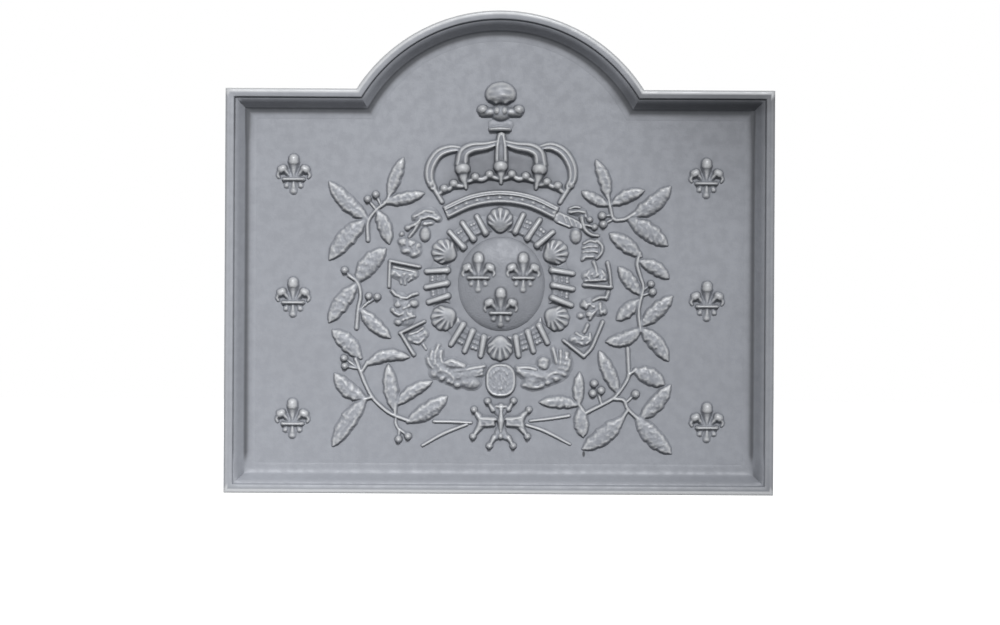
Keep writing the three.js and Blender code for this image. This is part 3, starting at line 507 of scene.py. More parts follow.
def rim_section():
    """From the outer edge inwards: rounded edge, flat face, narrow step, hollow-footed slope."""
    radius = sizes().edge_radius / MM
    shelf = RIM_RISE - 3.1
    # Each point is (distance in, rise, crest): the crest paints the rounded edge and face pale, partly as
    # rubbing and partly as a painted highlight, and the step line and the fillet dark as painted shade.
    section = [(0.0, -0.4, 0.0), (0.0, RIM_RISE - radius - 3.0, 0.0)]
    section += [(inset, RIM_RISE - drop, 0.3) for inset, drop in rounding(radius, 6)]
    section += [
        (6.5, RIM_RISE, 0.18), (10.3, RIM_RISE - 0.05, 0.24), (11.2, RIM_RISE - 0.5, 0.2),
        (11.8, RIM_RISE - 1.7, -0.8), (12.5, shelf + 0.1, -1.0), (13.2, shelf, -0.8),
        (14.0, shelf - 0.2, 0.0), (18.0, 10.8, 0.0), (22.0, 5.7, 0.0)]
    # The slope runs out into the field over a hollow fillet, painted dark as shade.
    return section + [
        (23.3, 4.1, -0.3), (24.5, 2.9, -0.9), (25.6, 2.0, -1.4), (26.8, 1.4, -1.5), (28.2, 0.9, -1.2),
        (30.0, 0.5, -0.8), (32.0, 0.28, -0.5), (34.5, 0.15, -0.3), (37.0, 0.08, -0.12), (39.0, -0.3, 0.0)]


def uneven(bm, amount):
    """Moves points by the slow unevenness that sand leaves in long flat faces."""
    for where in (vertex.co for vertex in bm.verts):
        if -where.y < 0.3 * MM or min(abs(abs(where.x) - HALF_WIDTH * MM), abs(where.z)) < 0.1 * MM:
            continue
        drop = noise.noise(where * 22) * amount + noise.noise(where * 75) * amount * 0.5
        where.y += abs(drop) * MM


class FIREBACK_OT_rim(bpy.types.Operator):
    """Rim moulding, with its rounded edge, flat face, step line and slope down to the field"""
    bl_idname = "fireback.rim"
    bl_label = "Rim moulding"

    def execute(self, context):
        bm = bmesh.new()
        first, last = swept(bm, rim_section())
        bmesh.ops.bridge_loops(bm, edges=first + last)
        uneven(bm, 0.22)
        casting("rim_moulding", bm).data.set_sharp_from_angle(angle=SHARP)
        return {"FINISHED"}


class FIREBACK_OT_plate(bpy.types.Operator):
    """Ground plate, whose field is a little uneven and whose back edge is rounded"""
    bl_idname = "fireback.plate"
    bl_label = "Ground plate"

    def execute(self, context):
        radius = sizes().back_radius / MM
        section = [(0.0, -0.2, 0.0)]
        # The rounded back edge gets a pale crest, partly as rubbing and partly as a painted highlight.
        section += [(inset, drop - PLATE, 0.3) for inset, drop in rounding(radius, 4)]
        section += [(radius + 1.5, -PLATE, 0.0)]
        bm = bmesh.new()
        for edges in swept(bm, section):
            bmesh.ops.triangle_fill(bm, use_beauty=True, edges=edges)
        casting("ground_plate", bm).data.set_sharp_from_angle(angle=SHARP)
        return {"FINISHED"}


# ------------------------ fleurs-de-lis

def fleur_forms(patch, centre, rise):
    """Three petals, a cross bar and three short feet, with a raised web between the petals."""
    def lay(points, widths, rises, side=1, profile=swell):
        points = [(centre[0] + side * x, centre[1] + z) for x, z in points]
        patch.add(band(patch, points, widths, [r * rise for r in rises], profile), 0.5)

    lay([(0, -6), (0, 4)], [18, 14, 8], [0.16])
    lay([(0, -5), (0, 3), (0, 10), (0, 17)], [7.5, 7, 11, 15.4], [0.32, 0.36, 0.62, 1.05])
    lay([(0, 19), (0, 21.7)], [14.2, 13.6], [1.22], profile=ball)
    for side in (-1, 1):
        lay([(3, -4), (7, 1.5), (11.5, 6.5)], [5.4, 6, 9], [0.22, 0.3, 0.8], side)
        lay([(13.8, 9), (16.2, 7.8)], [10.4, 10.8], [1.12, 1.08], side, ball)
        lay([(18, 5.5), (20.8, 1), (19.5, -2.5)], [8, 5.6, 4], [0.75, 0.45, 0.3], side)
        lay([(7.8, -9), (9.2, -13)], [8.4, 8], [0.34, 0.36], side)
    lay([(0, -9), (-0.3, -20)], [9, 10.4], [0.38, 0.42])
    lay([(0, -9), (0, -15.5)], [4, 4.6], [0.6], profile=rounded)
    lay([(-13, -5.2), (13, -5.2)], 4.2, [1.05], profile=ball)


FLEUR_COLUMN = 271.0
FLEUR_ROWS = {"top": 416.0, "middle": 255.5, "bottom": 95.0}
FIELD_FLEUR_RISE, SHIELD_FLEUR_RISE = 6.4, 5.4


class FIREBACK_OT_field_fleurs(bpy.types.Operator):
    """Six fleurs-de-lis in two columns on the field"""
    bl_idname = "fireback.field_fleurs"
    bl_label = "Field fleurs-de-lis"

    def execute(self, context):
        for side_name, side in (("left", -1), ("right", 1)):
            for row_name, height in FLEUR_ROWS.items():
                x = side * FLEUR_COLUMN
                patch = Patch(x - 27, x + 27, height - 30, height + 34)
                fleur_forms(patch, (x, height), FIELD_FLEUR_RISE)
                relief_piece(f"field_fleur_{side_name}_{row_name}", patch)
        return {"FINISHED"}


# ------------------------ shield and collar

SHIELD = (2.6, 275.0, 56.5, 61.5)       # middle, half width and half height
COLLAR = (0.0, 275.0)
COLLAR_RADIUS, SHELL_RADIUS = 83.5, 16.8


def on_collar(degrees, radius):
    angle = math.radians(degrees)
    return COLLAR[0] + radius * math.cos(angle), COLLAR[1] + radius * math.sin(angle)


class FIREBACK_OT_shield(bpy.types.Operator):
    """Domed oval shield with its three fleurs-de-lis"""
    bl_idname = "fireback.shield"
    bl_label = "Shield"

    def execute(self, context):
        x, z, half_width, half_height = SHIELD
        box = x - half_width, x + half_width, z - half_height, z + half_height
        patch = Patch(*box)
        across = np.hypot((patch.x - x) / half_width, (patch.z - z) / half_height)
        ground = 10.2 * np.clip(1 - np.clip(across, 0, 1) ** 2.2, 0, None) ** 0.75
        patch.add(ground)
        for centre in ((-27.6, 287.8), (31.3, 287.9), (1.9, 241.8)):
            charge = Patch(*box)
            fleur_forms(charge, centre, SHIELD_FLEUR_RISE)
            patch.height = patch.height + charge.height
        relief_piece("shield_with_fleurs", patch)
        return {"FINISHED"}


def shell_form(patch, degrees):
    """A scallop shell: ribs fan from the hub on its inner side to a lobed outer edge."""
    centre = on_collar(degrees, COLLAR_RADIUS)
    hub = on_collar(degrees, COLLAR_RADIUS - 0.62 * SHELL_RADIUS)
    outwards = math.radians(degrees)
    across = np.hypot(patch.x - centre[0], patch.z - centre[1]) / SHELL_RADIUS
    fan = np.arctan2(patch.z - hub[1], patch.x - hub[0]) - outwards
    fan = (fan + math.pi) % (2 * math.pi) - math.pi
    reach = np.hypot(patch.x - hub[0], patch.z - hub[1]) / SHELL_RADIUS
    ribs = (0.5 + 0.5 * np.cos(fan * 16)) ** 0.6
    fanned = np.clip((1.75 - np.abs(fan)) / 0.3, 0, 1) * np.clip((reach - 0.55) / 0.4, 0, 1)
    lobed = 1 + 0.05 * (ribs - 0.6) * fanned
    # The inner half narrows to the point of the hinge.
    turned = np.arctan2(patch.z - centre[1], patch.x - centre[0]) - outwards
    lobed -= np.where(np.cos(turned) < 0, 0.12 * np.sin(2 * turned) ** 2, 0)
    body = ball(np.clip(across / lobed, 0, 1)) ** 0.9
    furrowed = 1 - 0.34 * fanned * (1 - ribs)
    return 8.6 * body * furrowed


# The three bars of each link, from the outer end to the inner one.
LINK_BARS = {
    "upper_left": [
        ((-30, 363), (-18.6, 342.1)), ((-48.9, 354.5), (-34.5, 334)), ((-65.6, 342.5), (-47.6, 323)),
    ],
    "upper_right": [
        ((30.8, 365.6), (20.7, 343.9)), ((52.5, 358.9), (36.8, 335.3)), ((69.8, 343.2), (49.6, 326.2)),
    ],
    "left": [
        ((-95.5, 290.8), (-68.9, 292.4)), ((-96.1, 269.9), (-69.3, 275.4)),
        ((-92.7, 250.6), (-68.2, 258.6)),
    ],
    "right": [
        ((96.3, 289), (69.6, 293.2)), ((96.4, 268.6), (71.1, 273.5)), ((94.5, 247.4), (70.2, 257.2)),
    ],
    "lower_left": [
        ((-63, 195.2), (-47.5, 220.8)), ((-45.2, 186.4), (-35, 212.2)), ((-24.1, 180.5), (-20.1, 204.4)),
    ],
    "lower_right": [
        ((63.4, 198), (52.4, 220.1)), ((45.1, 186.7), (37.6, 211.8)), ((25.6, 180.9), (21.9, 204.5)),
    ],
}


def link_patch(name, degrees):
    x, z = on_collar(degrees, COLLAR_RADIUS)
    patch = Patch(x - 42, x + 42, z - 42, z + 42)
    arc = [on_collar(degrees + turn, COLLAR_RADIUS) for turn in np.linspace(-24, 24, 9)]
    place, distance, side, _ = along(patch, arc)
    strip = np.interp(distance * side, [-9, -4, 4, 11.5, 14.2], [0, 0.6, 1.2, 2.6, 0])
    patch.add(np.where((place > 0.001) & (place < 0.999), strip, 0))
    bars = LINK_BARS[name]
    # Two cords of beads lie between each bar and the next.
    for (s0, e0), (s1, e1) in zip(bars, bars[1:]):
        for share in (0.3, 0.55, 0.8):
            one = [s0[i] + (e0[i] - s0[i]) * share for i in (0, 1)]
            two = [s1[i] + (e1[i] - s1[i]) * share for i in (0, 1)]
            for mix in (0.38, 0.62):
                spot = tuple(one[i] * (1 - mix) + two[i] * mix for i in (0, 1))
                patch.lay((spot, 3.6, 3.6, 2.5, swell))
    patch.lay(*[(list(bar), [7.0, 8.4, 9.2], [5.2, 7.2, 7.6], ball) for bar in bars])
    for side in (-30, 30):
        sx, sz = on_collar(degrees + side, COLLAR_RADIUS)
        clear = np.hypot(patch.x - sx, patch.z - sz) < SHELL_RADIUS + 0.9
        patch.height = np.where(clear, 0, patch.height)
    return patch


SHELLS = ("top", "upper_right", "lower_right", "bottom", "lower_left", "upper_left")
LINKS = ("upper_right", "right", "lower_right", "lower_left", "left", "upper_left")


class FIREBACK_OT_collar(bpy.types.Operator):
    """Collar of six scallop shells and the six links between them"""
    bl_idname = "fireback.collar"
    bl_label = "Collar"

    def execute(self, context):
        for i, name in enumerate(SHELLS):
            x, z = on_collar(90 - 60 * i, COLLAR_RADIUS)
            patch = Patch(x - 18, x + 18, z - 18, z + 18)
            patch.add(shell_form(patch, 90 - 60 * i))
            relief_piece(f"collar_shell_{name}", patch)
        for i, name in enumerate(LINKS):
            relief_piece(f"collar_link_{name}", link_patch(name, 60 - 60 * i))
        return {"FINISHED"}


# ------------------------ crown

CROWN_BAND = [(-73, 368.5), (-38, 384), (0, 389.5), (38, 384), (73, 368.5)]
PEARLS = [(-74.5, 400.5), (-62, 407), (-34, 416), (-15, 419.5),
          (14, 420), (32.5, 417.5), (60, 410), (74.5, 405)]
# A low garland carries the pearls from one drop of the arches to the next.
GARLANDS = [
    [(-81, 394), (-74.5, 398.5), (-68, 400.5), (-62, 404.5), (-50, 404)],
    [(-44, 410), (-34, 413.5), (-24.5, 413), (-15, 417), (-3, 414)],
    [(3, 414), (14, 417.5), (23, 414), (32.5, 415), (44, 411)],
    [(50, 406), (60, 407.5), (67, 404.5), (74.5, 402.5), (81, 397)],
]


def mirrored(points, side):
    return [(side * x, z) for x, z in points]


def crown_band():
    patch = Patch(-84, 84, 356, 402)
    place, distance, side, total = along(patch, CROWN_BAND, 80)
    signed = distance * side / 8.8
    inside = (np.abs(signed) < 1) & (place > 0.0005) & (place < 0.9995)
    ridges = sum(h * np.exp(-((signed - at) / wide) ** 2) for at, wide, h in
                 ((0.84, 0.13, 1.0), (0.42, 0.11, 0.85), (-0.70, 0.20, 1.1)))
    lozenge = np.abs(((place * total / 15) % 1) - 0.5) * 2
    jewels = 0.62 * np.clip(1.25 - np.abs(signed + 0.12) / 0.30 - (1 - lozenge) * 1.5, 0, 1)
    profile = 0.5 + 0.5 * np.clip(np.maximum(ridges, jewels), 0, 1)
    patch.add(np.where(inside, 8.2 * profile * flat_top(np.clip(np.abs(signed), 0, 1)), 0))
    return patch


def crown_arches():
    patch = Patch(-104, 104, 374, 473)
    patch.lay(
        ([(0, 470), (0, 452), (0, 436)], [11, 16, 18], [5, 5.6, 5.6], flat_top),
        ([(-2.5, 471), (-5, 456), (-5.5, 438)], [5.5, 6.2, 6.8], [7, 8.6, 8]),
        ([(2.5, 471), (5, 456), (5.5, 438)], [5.5, 6.2, 6.8], [7, 8.6, 8]),
        ((-0.5, 430), 9.6, 9.4, 11.0, ball),
        ([(0, 427), (0, 418), (0, 408)], [16, 11.5, 4], [8.2, 6.6, 3.6]))
    for side in (-1, 1):
        lift = 4.0 if side > 0 else 0.0
        outer = [(side * x, z + lift * max(0, 1 - abs(x - 66) / 40)) for x, z in
                 [(50, 452), (66, 452.5), (82, 446), (92.5, 430), (94, 414), (89, 402)]]
        inner = mirrored([(4, 461), (20, 456.5), (38, 454), (49, 447), (52, 433)], side)
        patch.lay(
            (inner, [9, 12, 15, 18, 18.5], [6.5, 8.2, 9.2, 9.2, 7.5], double_ridge),
            (outer, [8, 12, 14, 14.5, 13, 10], [5, 6.8, 7.6, 7.6, 6.8, 5], double_ridge),
            ((side * 92, 406), 4.6, 5.2, 7.4),
            ((side * 50.5, 426.5), 10, 9.4, 11.0, ball),
            (mirrored([(50, 423), (48.6, 413), (46, 401)], side), [16, 12.5, 4], [8.2, 6.6, 3.6]),
            (mirrored([(90, 404), (85, 396), (77.5, 383)], side), [8, 7, 6], 4.2))
    patch.lay(*[(pearl, 5.8, 5.4, 8.6, ball) for pearl in PEARLS])
    patch.lay(*[(line, [7, 9, 8, 9, 7], [4.4, 5.6, 5.2, 5.6, 4.4]) for line in GARLANDS])
    _, distance, _, _ = along(patch, CROWN_BAND, 80)
    patch.height = np.where(distance < 9.5, 0, patch.height)
    return patch


def crown_finial():
    patch = Patch(-36, 36, 466, 545)
    lower = np.where(patch.z > 524, 17.0, 13.5)
    tuft = np.hypot(patch.x / 20.5, (patch.z - 524) / lower)
    lobes = 1 + 0.06 * np.cos(patch.x * 0.52) * np.clip((520 - patch.z) / 8, 0, 1)
    curls = 1 + 0.035 * lumps(patch, 9.0, 5)
    patch.add(12.0 * ball(np.clip(tuft * lobes, 0, 1)) * curls)
    patch.lay(((0, 500.5), 13.5, 11.5, 8.0))
    for side in (-1, 1):
        patch.lay(
            ((side * 4.8, 502), 5.4, 6.5, 10.4), ((side * 23.5, 504), 7.6, 6.8, 10.0),
            ([(side * 8, 501), (side * 23, 501)], [12, 13], 6.4))
    patch.lay(
        ([(-11, 485), (11, 485)], 12, 1.0, swell),
        ([(-13.5, 478.2), (0, 479), (12, 478.2)], [4.4, 6.2, 4.4], 7.6))
    return patch


class FIREBACK_OT_crown(bpy.types.Operator):
    """Crown: its band, its open arches with drops and pearls, and the tuft on top"""
    bl_idname = "fireback.crown"
    bl_label = "Crown"

    def execute(self, context):
        relief_piece("crown_band", crown_band())
        relief_piece("crown_arches", crown_arches())
        relief_piece("crown_finial", crown_finial())
        return {"FINISHED"}


# ------------------------ outer collar

# The forms of each piece, as Patch.lay takes them.
OUTER = {
    "outer_plume_left": [
        ([(-112, 362), (-103, 366), (-92, 367), (-82, 361)], [10, 16, 18, 10], 3.6, swell),
        ([(-107, 366.5), (-98, 370.5), (-88, 369)], [3.4, 4, 3.4], 5.4),
        ([(-114, 363), (-107, 365.5)], 4, 5), ([(-102, 361), (-92, 363), (-83, 359)], [5, 5, 4], 4.4),
        ([(-100, 354), (-90, 355)], [7, 5], 2.6, swell),
        ([(-118, 350), (-110, 354), (-104, 361)], [5, 6, 5], 5.6),
        ([(-106, 356), (-112, 347), (-120, 336)], [4.4, 5, 3], 4.4), ((-121.7, 348.2), 4, 3.8, 5.8),
    ],
    "outer_pendant_left": [
        ((-98.5, 341), 7.2, 10.2, 5.6), ((-98.5, 345), 4.6, 3.8, 6.6),
    ],
    "outer_feather_left": [
        ([(-129, 331), (-120, 325), (-108, 318)], [9, 22, 23, 13], 3.2, swell), ((-126, 330), 6.4, 6, 5.2),
        ((-116, 328), 7.5, 5.5, 4.8), ((-107, 325), 5, 4.4, 3.8), ((-121, 319), 8, 5, 4.4),
        ((-112, 314), 6, 4.4, 3.8), ((-127.9, 340), 3, 3, 4.2),
    ],
    "outer_frame_left_upper": [
        ([(-144, 304.2), (-105, 296.8)], 4.2, 5.6), ([(-144, 304), (-145, 270.5)], 4.2, 4.4),
    ],
    "outer_trophy_left_upper": [
        ([(-139, 296), (-124, 293), (-111, 290.5)], [3.4, 3.6, 3.2], 3.8),
        ([(-139, 289), (-126, 286), (-112, 287)], [13, 19, 12], 3, swell),
        ([(-136, 290), (-131, 285), (-126, 288), (-124, 284)], 3, 4.2),
        ([(-122, 288), (-117, 286), (-115, 281)], [3, 3.4, 3], 4.2), ([(-130, 282), (-129, 275)], 2.6, 2.6),
        ([(-124, 281), (-124, 274)], 2.6, 2.6), ([(-112, 290), (-117, 281), (-120, 278)], [3, 3, 2.6], 3.4),
    ],
    "outer_knot_left": [
        ([(-141, 266), (-136, 261), (-128, 257.5), (-121, 256.5)], [4, 5.4, 5, 4], 5.6),
        ([(-121, 257), (-114, 261), (-108, 262.5)], [4, 5, 3.6], 5), ((-113, 249.5), 7, 5.4, 6.6),
        ([(-126, 243), (-118, 247)], [4, 7], 5), ((-133, 248), 5.2, 5.2, 5.8), ((-139.5, 241), 3.6, 3.4, 5),
        ([(-134, 250), (-129, 255)], [4, 3.4], 4.4),
        ([(-138, 238), (-131, 235), (-122, 240)], [5, 6, 5], 4), ((-118, 235), 6, 4.6, 5),
        ((-132.5, 225), 5.4, 4.2, 5.6), ([(-127, 228), (-119, 231), (-112, 233)], [5, 5, 4], 4.4),
        ([(-130, 256), (-125, 244), (-122, 231)], [18, 29, 22], 3.2, swell),
    ],
    "outer_frame_left_lower": [
        ([(-98.5, 225), (-130, 209.5)], [4, 4.4, 5], 5.6), ([(-129, 209), (-112, 181.5)], [4.8, 5.4], 5.4),
    ],
    "outer_trophy_left_lower": [
        ([(-119, 208), (-109, 211), (-101, 216)], [3.4, 4, 3.4], 4.2),
        ([(-117, 203), (-107, 204), (-99, 209)], [13, 19, 12], 3, swell),
        ([(-116, 204), (-109, 206), (-104, 202)], [3, 3.6, 3], 4),
        ([(-113, 198), (-106, 197), (-100, 203)], [3, 3.6, 3], 3.8), ([(-99, 213), (-97, 206)], 3, 3.4),
        ([(-101, 195), (-97, 189)], [3, 2.4], 2.2),
    ],
    "outer_staff_right": [
        ([(76, 363), (91, 357), (104, 352)], [15, 14, 9], 2.8, flat_top),
        ([(76, 369), (90, 363), (102, 357)], [3, 3, 2.6], 4), ([(75, 357), (90, 351)], 2.8, 4),
        ([(82, 365), (86, 356)], 3, 4.4), ([(89, 362), (93, 353)], 3, 4.4), ([(96, 359), (99, 351)], 3, 4),
        ((98, 339.5), 7.6, 10.8, 5.2), ((98, 343), 5, 4.6, 5.8),
    ],
    "outer_hook_right": [
        ([(90, 371), (99, 371), (108, 370), (112, 364)], [6, 11, 11, 5], 2.8, swell),
        ([(90, 374.5), (97, 377), (104, 376)], [3, 3.6, 3], 5.2),
        ([(91, 370), (101, 371.5), (110, 370)], [3.2, 4, 4], 5.2),
        ([(106, 363), (107.5, 356), (111, 347), (119, 341), (128, 339.5)], [6, 6, 5.6, 4.4, 3.4], 5.6),
        ((116.6, 360.5), 4.2, 4, 6.4), ((122.8, 351), 4.6, 4.4, 6.6), ([(110, 354), (118, 352)], 4, 4.6),
    ],
    "outer_feather_right": [
        ([(127, 332), (119, 322), (109, 311)], [14, 27, 24, 8], 2.6, swell),
        ([(126, 333), (133, 326), (132, 317), (126, 310)], [5, 4, 4, 3], 5.4),
        ([(109, 329), (117, 333), (125, 331)], [3, 3.6, 3.6], 4.6),
        ([(108, 323.5), (118, 326), (127, 325)], [3, 3.6, 3.2], 4.6),
        ([(108, 318), (118, 319.5), (127, 318)], [3, 3.6, 3.2], 4.4),
        ([(107, 308), (112, 312), (122, 312)], [3, 3.6, 3], 4.2),
    ],
    "outer_frame_right_upper": [
        ([(140, 304), (143, 290), (144.5, 273)], [5.4, 4.2, 4.2], 5.6),
        ([(109, 275), (145, 272.5)], [4.6, 5], 5.8),
    ],
    "outer_trophy_right_upper": [
        ([(111, 280.5), (123, 281), (138, 282)], [3, 3.6, 3], 3.8),
        ([(112, 287), (125, 289), (135, 287)], [12, 19, 12], 3, swell),
        ([(122, 305), (125, 297), (126.5, 289)], [4, 4, 6], 4.2),
        ([(116, 293), (113, 287), (117, 283)], [3, 3.4, 3], 4),
        ([(133, 294), (136, 288), (132, 283)], [3, 3.4, 3], 3.8), ((126.5, 287.5), 4.4, 3.6, 5),
        ([(120, 291), (122, 285)], 3, 4),
    ],
    "outer_knot_right": [
        ([(142, 266), (139.5, 258)], 5, 5.6), ([(138, 259), (130, 258.5), (122, 255)], [4.6, 5, 4.6], 5.8),
        ((112.5, 249.5), 7.5, 5.6, 5.8), ([(117, 251), (124, 246)], [5, 4], 5),
        ([(110, 254), (113, 245)], 4, 6.2), ([(131.5, 251), (132, 244), (133, 238)], [4.6, 5, 4.6], 5.4),
        ((136.5, 240.5), 4.2, 4.4, 6), ((118, 237), 6, 5, 5.4), ((106, 235), 5, 4, 3.6),
        ([(124, 240), (118, 231)], [5, 4], 4.4),
        ([(118, 250), (126, 246), (131, 243)], [18, 27, 18], 3.2, swell),
    ],
    "outer_frame_right_lower": [
        ([(83, 202.5), (109.5, 182)], [4.4, 5, 5.4], 5.6),
        ([(110, 182.5), (119.5, 193), (127, 210), (134, 227)], [5.4, 5, 5, 5.4], 5.4),
    ],
    "outer_trophy_right_lower": [
        ([(114, 223), (109.5, 213)], [4, 4.6], 5), ([(99, 212), (106, 208), (114, 207)], [3, 3.8, 3], 4.2),
        ([(95, 204), (105, 203), (116, 204)], [11, 19, 12], 3, swell),
        ([(97, 207), (101, 201), (108, 197)], [3, 3.4, 3], 3.8),
        ([(117, 211), (117, 203), (112, 198)], [3, 3.4, 3], 3.8), ((107, 204), 4, 3.2, 4.4),
    ],
}


def form_box(forms):
    xs, zs = [], []
    for form in forms:
        is_band = isinstance(form[0], list)
        reach = max(np.atleast_1d(form[1])) / 2 if is_band else max(form[1], form[2])
        for x, z in form[0] if is_band else [form[0]]:
            xs += [x - reach, x + reach]
            zs += [z - reach, z + reach]
    return min(xs), max(xs), min(zs), max(zs)


def laid_forms(forms, seed=0, lump=0.0, worn=0.0):
    """All forms of one ornament, made lumpy as hand carving is and then worn down by that many mm."""
    patch = Patch(*form_box(forms))
    patch.lay(*forms)
    if lump:
        patch.roughen(lump, 5.2, seed, 3)
    if worn:
        patch.height = patch.blur(patch.height, worn)
    return patch


class FIREBACK_OT_outer_collar(bpy.types.Operator):
    """Frames, tied trophies, plumes and pendants of the outer collar"""
    bl_idname = "fireback.outer_collar"
    bl_label = "Outer collar"

    def execute(self, context):
        for seed, (name, forms) in enumerate(OUTER.items(), 40):
            crinkled = any(word in name for word in ("trophy", "knot", "feather", "plume"))
            lump, worn = (0.6, 0.6) if crinkled else (0.12, 0.0)
            relief_piece(name, laid_forms(forms, seed, lump, worn))
        return {"FINISHED"}


# ------------------------ medallion, cross and swags

class FIREBACK_OT_medallion(bpy.types.Operator):
    """Small oval medal with a rolled rim and a worn standing figure on it"""
    bl_idname = "fireback.medallion"
    bl_label = "Medallion"

    def execute(self, context):
        x, z = 1.5, 149.6
        patch = Patch(x - 20, x + 20, z - 22, z + 22)
        across = np.hypot((patch.x - x) / 19.5, (patch.z - z) / 21.5)
        squared = (np.abs((patch.x - x) / 19.5) ** 2.5 + np.abs((patch.z - z) / 21.5) ** 2.5) ** 0.4
        rim = 5.8 * rounded(np.clip((squared - 0.925) / 0.075, -1, 1)) ** 0.7
        ground = np.where(squared < 0.94, 4.4 + 0.35 * lumps(patch, 4.0, 9), 0)
        patch.add(ground)
        patch.add(rim)
        worn_figure = [
            ([(-2, 164), (-8, 160), (-12, 154)], [6, 7, 5], 0.7),
            ([(4, 163), (10, 158)], [7, 6], 0.8), ([(3, 156), (4, 148), (1, 140)], [8, 10, 8], 0.9),
            ([(-4, 152), (-3, 144)], 7, 0.7), ([(8, 152), (11, 145)], 5, 0.6),
            ([(-8, 140), (0, 138), (8, 140)], [5, 6, 5], 0.5),
        ]
        for form in worn_figure:
            patch.height = patch.height + np.where(across < 0.84, band(patch, *form, swell), 0)
        relief_piece("medallion", patch)
        return {"FINISHED"}


def inside_outline(patch, corners):
    """True inside the outline, and the distance from it."""
    inside = np.zeros(patch.x.shape, bool)
    nearest = np.full(patch.x.shape, 1e9)
    for (ax, az), (bx, bz) in zip(corners, corners[1:] + corners[:1]):
        crosses = (az > patch.z) != (bz > patch.z)
        at = ax + (patch.z - az) / (bz - az if bz != az else 1e-9) * (bx - ax)
        inside ^= crosses & (patch.x < at)
        dx, dz = bx - ax, bz - az
        t = np.clip(((patch.x - ax) * dx + (patch.z - az) * dz) / (dx * dx + dz * dz), 0, 1)
        nearest = np.minimum(nearest, np.hypot(patch.x - ax - t * dx, patch.z - az - t * dz))
    return inside, nearest


CROSS_TIPS = [
    ((-9, 111), (-16.2, 122.5)), ((11, 112), (17.8, 123)), ((29, 102), (38, 111.5)),
    ((27, 89), (36.2, 76.3)), ((11, 75), (17.6, 64)), ((-7, 75), (-13.5, 63.8)),
    ((-26, 89), (-35.2, 76)), ((-27, 102), (-34, 111.3)),
]
CROSS_ARMS = [
    ([(-31.5, 105.5), (-24, 102.5), (-6, 102), (-6, 89.5), (-24, 88), (-31.5, 86), (-29, 96)], 6.0),
    ([(7, 102), (24, 102.5), (33.5, 106), (31.5, 96), (33, 86), (25, 88), (7, 89.5)], 6.0),
    ([(-12, 117), (13, 117.5), (6, 102), (-4, 102)], 2.6),
    ([(-4, 90), (6, 90), (14, 69), (1, 73), (-10, 69)], 2.8),
]
DOVE = [
    ([(-5, 115.5), (1.5, 115), (8, 115.5)], [4, 5, 4], 5),
    ([(1.4, 115), (1.4, 108), (1.4, 103)], [10, 5.5, 6], [5.2, 6, 6.6]),
    ([(1.4, 106), (1.4, 97), (1.2, 87)], [6, 11, 6], [6.6, 8.2, 6.4]),
    ([(1.2, 88), (1.1, 82)], [5.5, 3.5], [5.6, 5]), ((1, 76.5), 3.8, 4.6, 6.8),
    ([(-6, 98.5), (-16, 99), (-26, 99.5)], [7, 8, 7], [6.4, 7, 6.8], swell),
    ([(8, 99), (18, 99.5), (29, 102)], [6, 6, 5], [6.4, 6.9, 6.6], swell),
]


class FIREBACK_OT_cross(bpy.types.Operator):
    """Eight-pointed cross with a ball on each point and a dove, wings spread, on its face"""
    bl_idname = "fireback.cross"
    bl_label = "Cross and dove"

    def execute(self, context):
        patch = Patch(-43, 46, 56, 130)
        for corners, rise in CROSS_ARMS:
            inside, edge = inside_outline(patch, corners)
            plate = 0.86 * np.clip(edge / 2.2 + 0.1, 0, 1) ** 0.6 + 0.022 * edge
            patch.add(np.where(inside, rise * plate, 0))
        for foot, tip in CROSS_TIPS:
            root = 10 if abs(foot[0]) > 20 else 7.5
            patch.lay(([foot, tip], [root, 3.6], [4.6, 4.5]), (tip, 4.3, 4.3, 8.4, ball))
        patch.roughen(0.4, 8.5, 3, 5)
        patch.lay(*DOVE)
        relief_piece("cross_with_dove", patch)
        return {"FINISHED"}


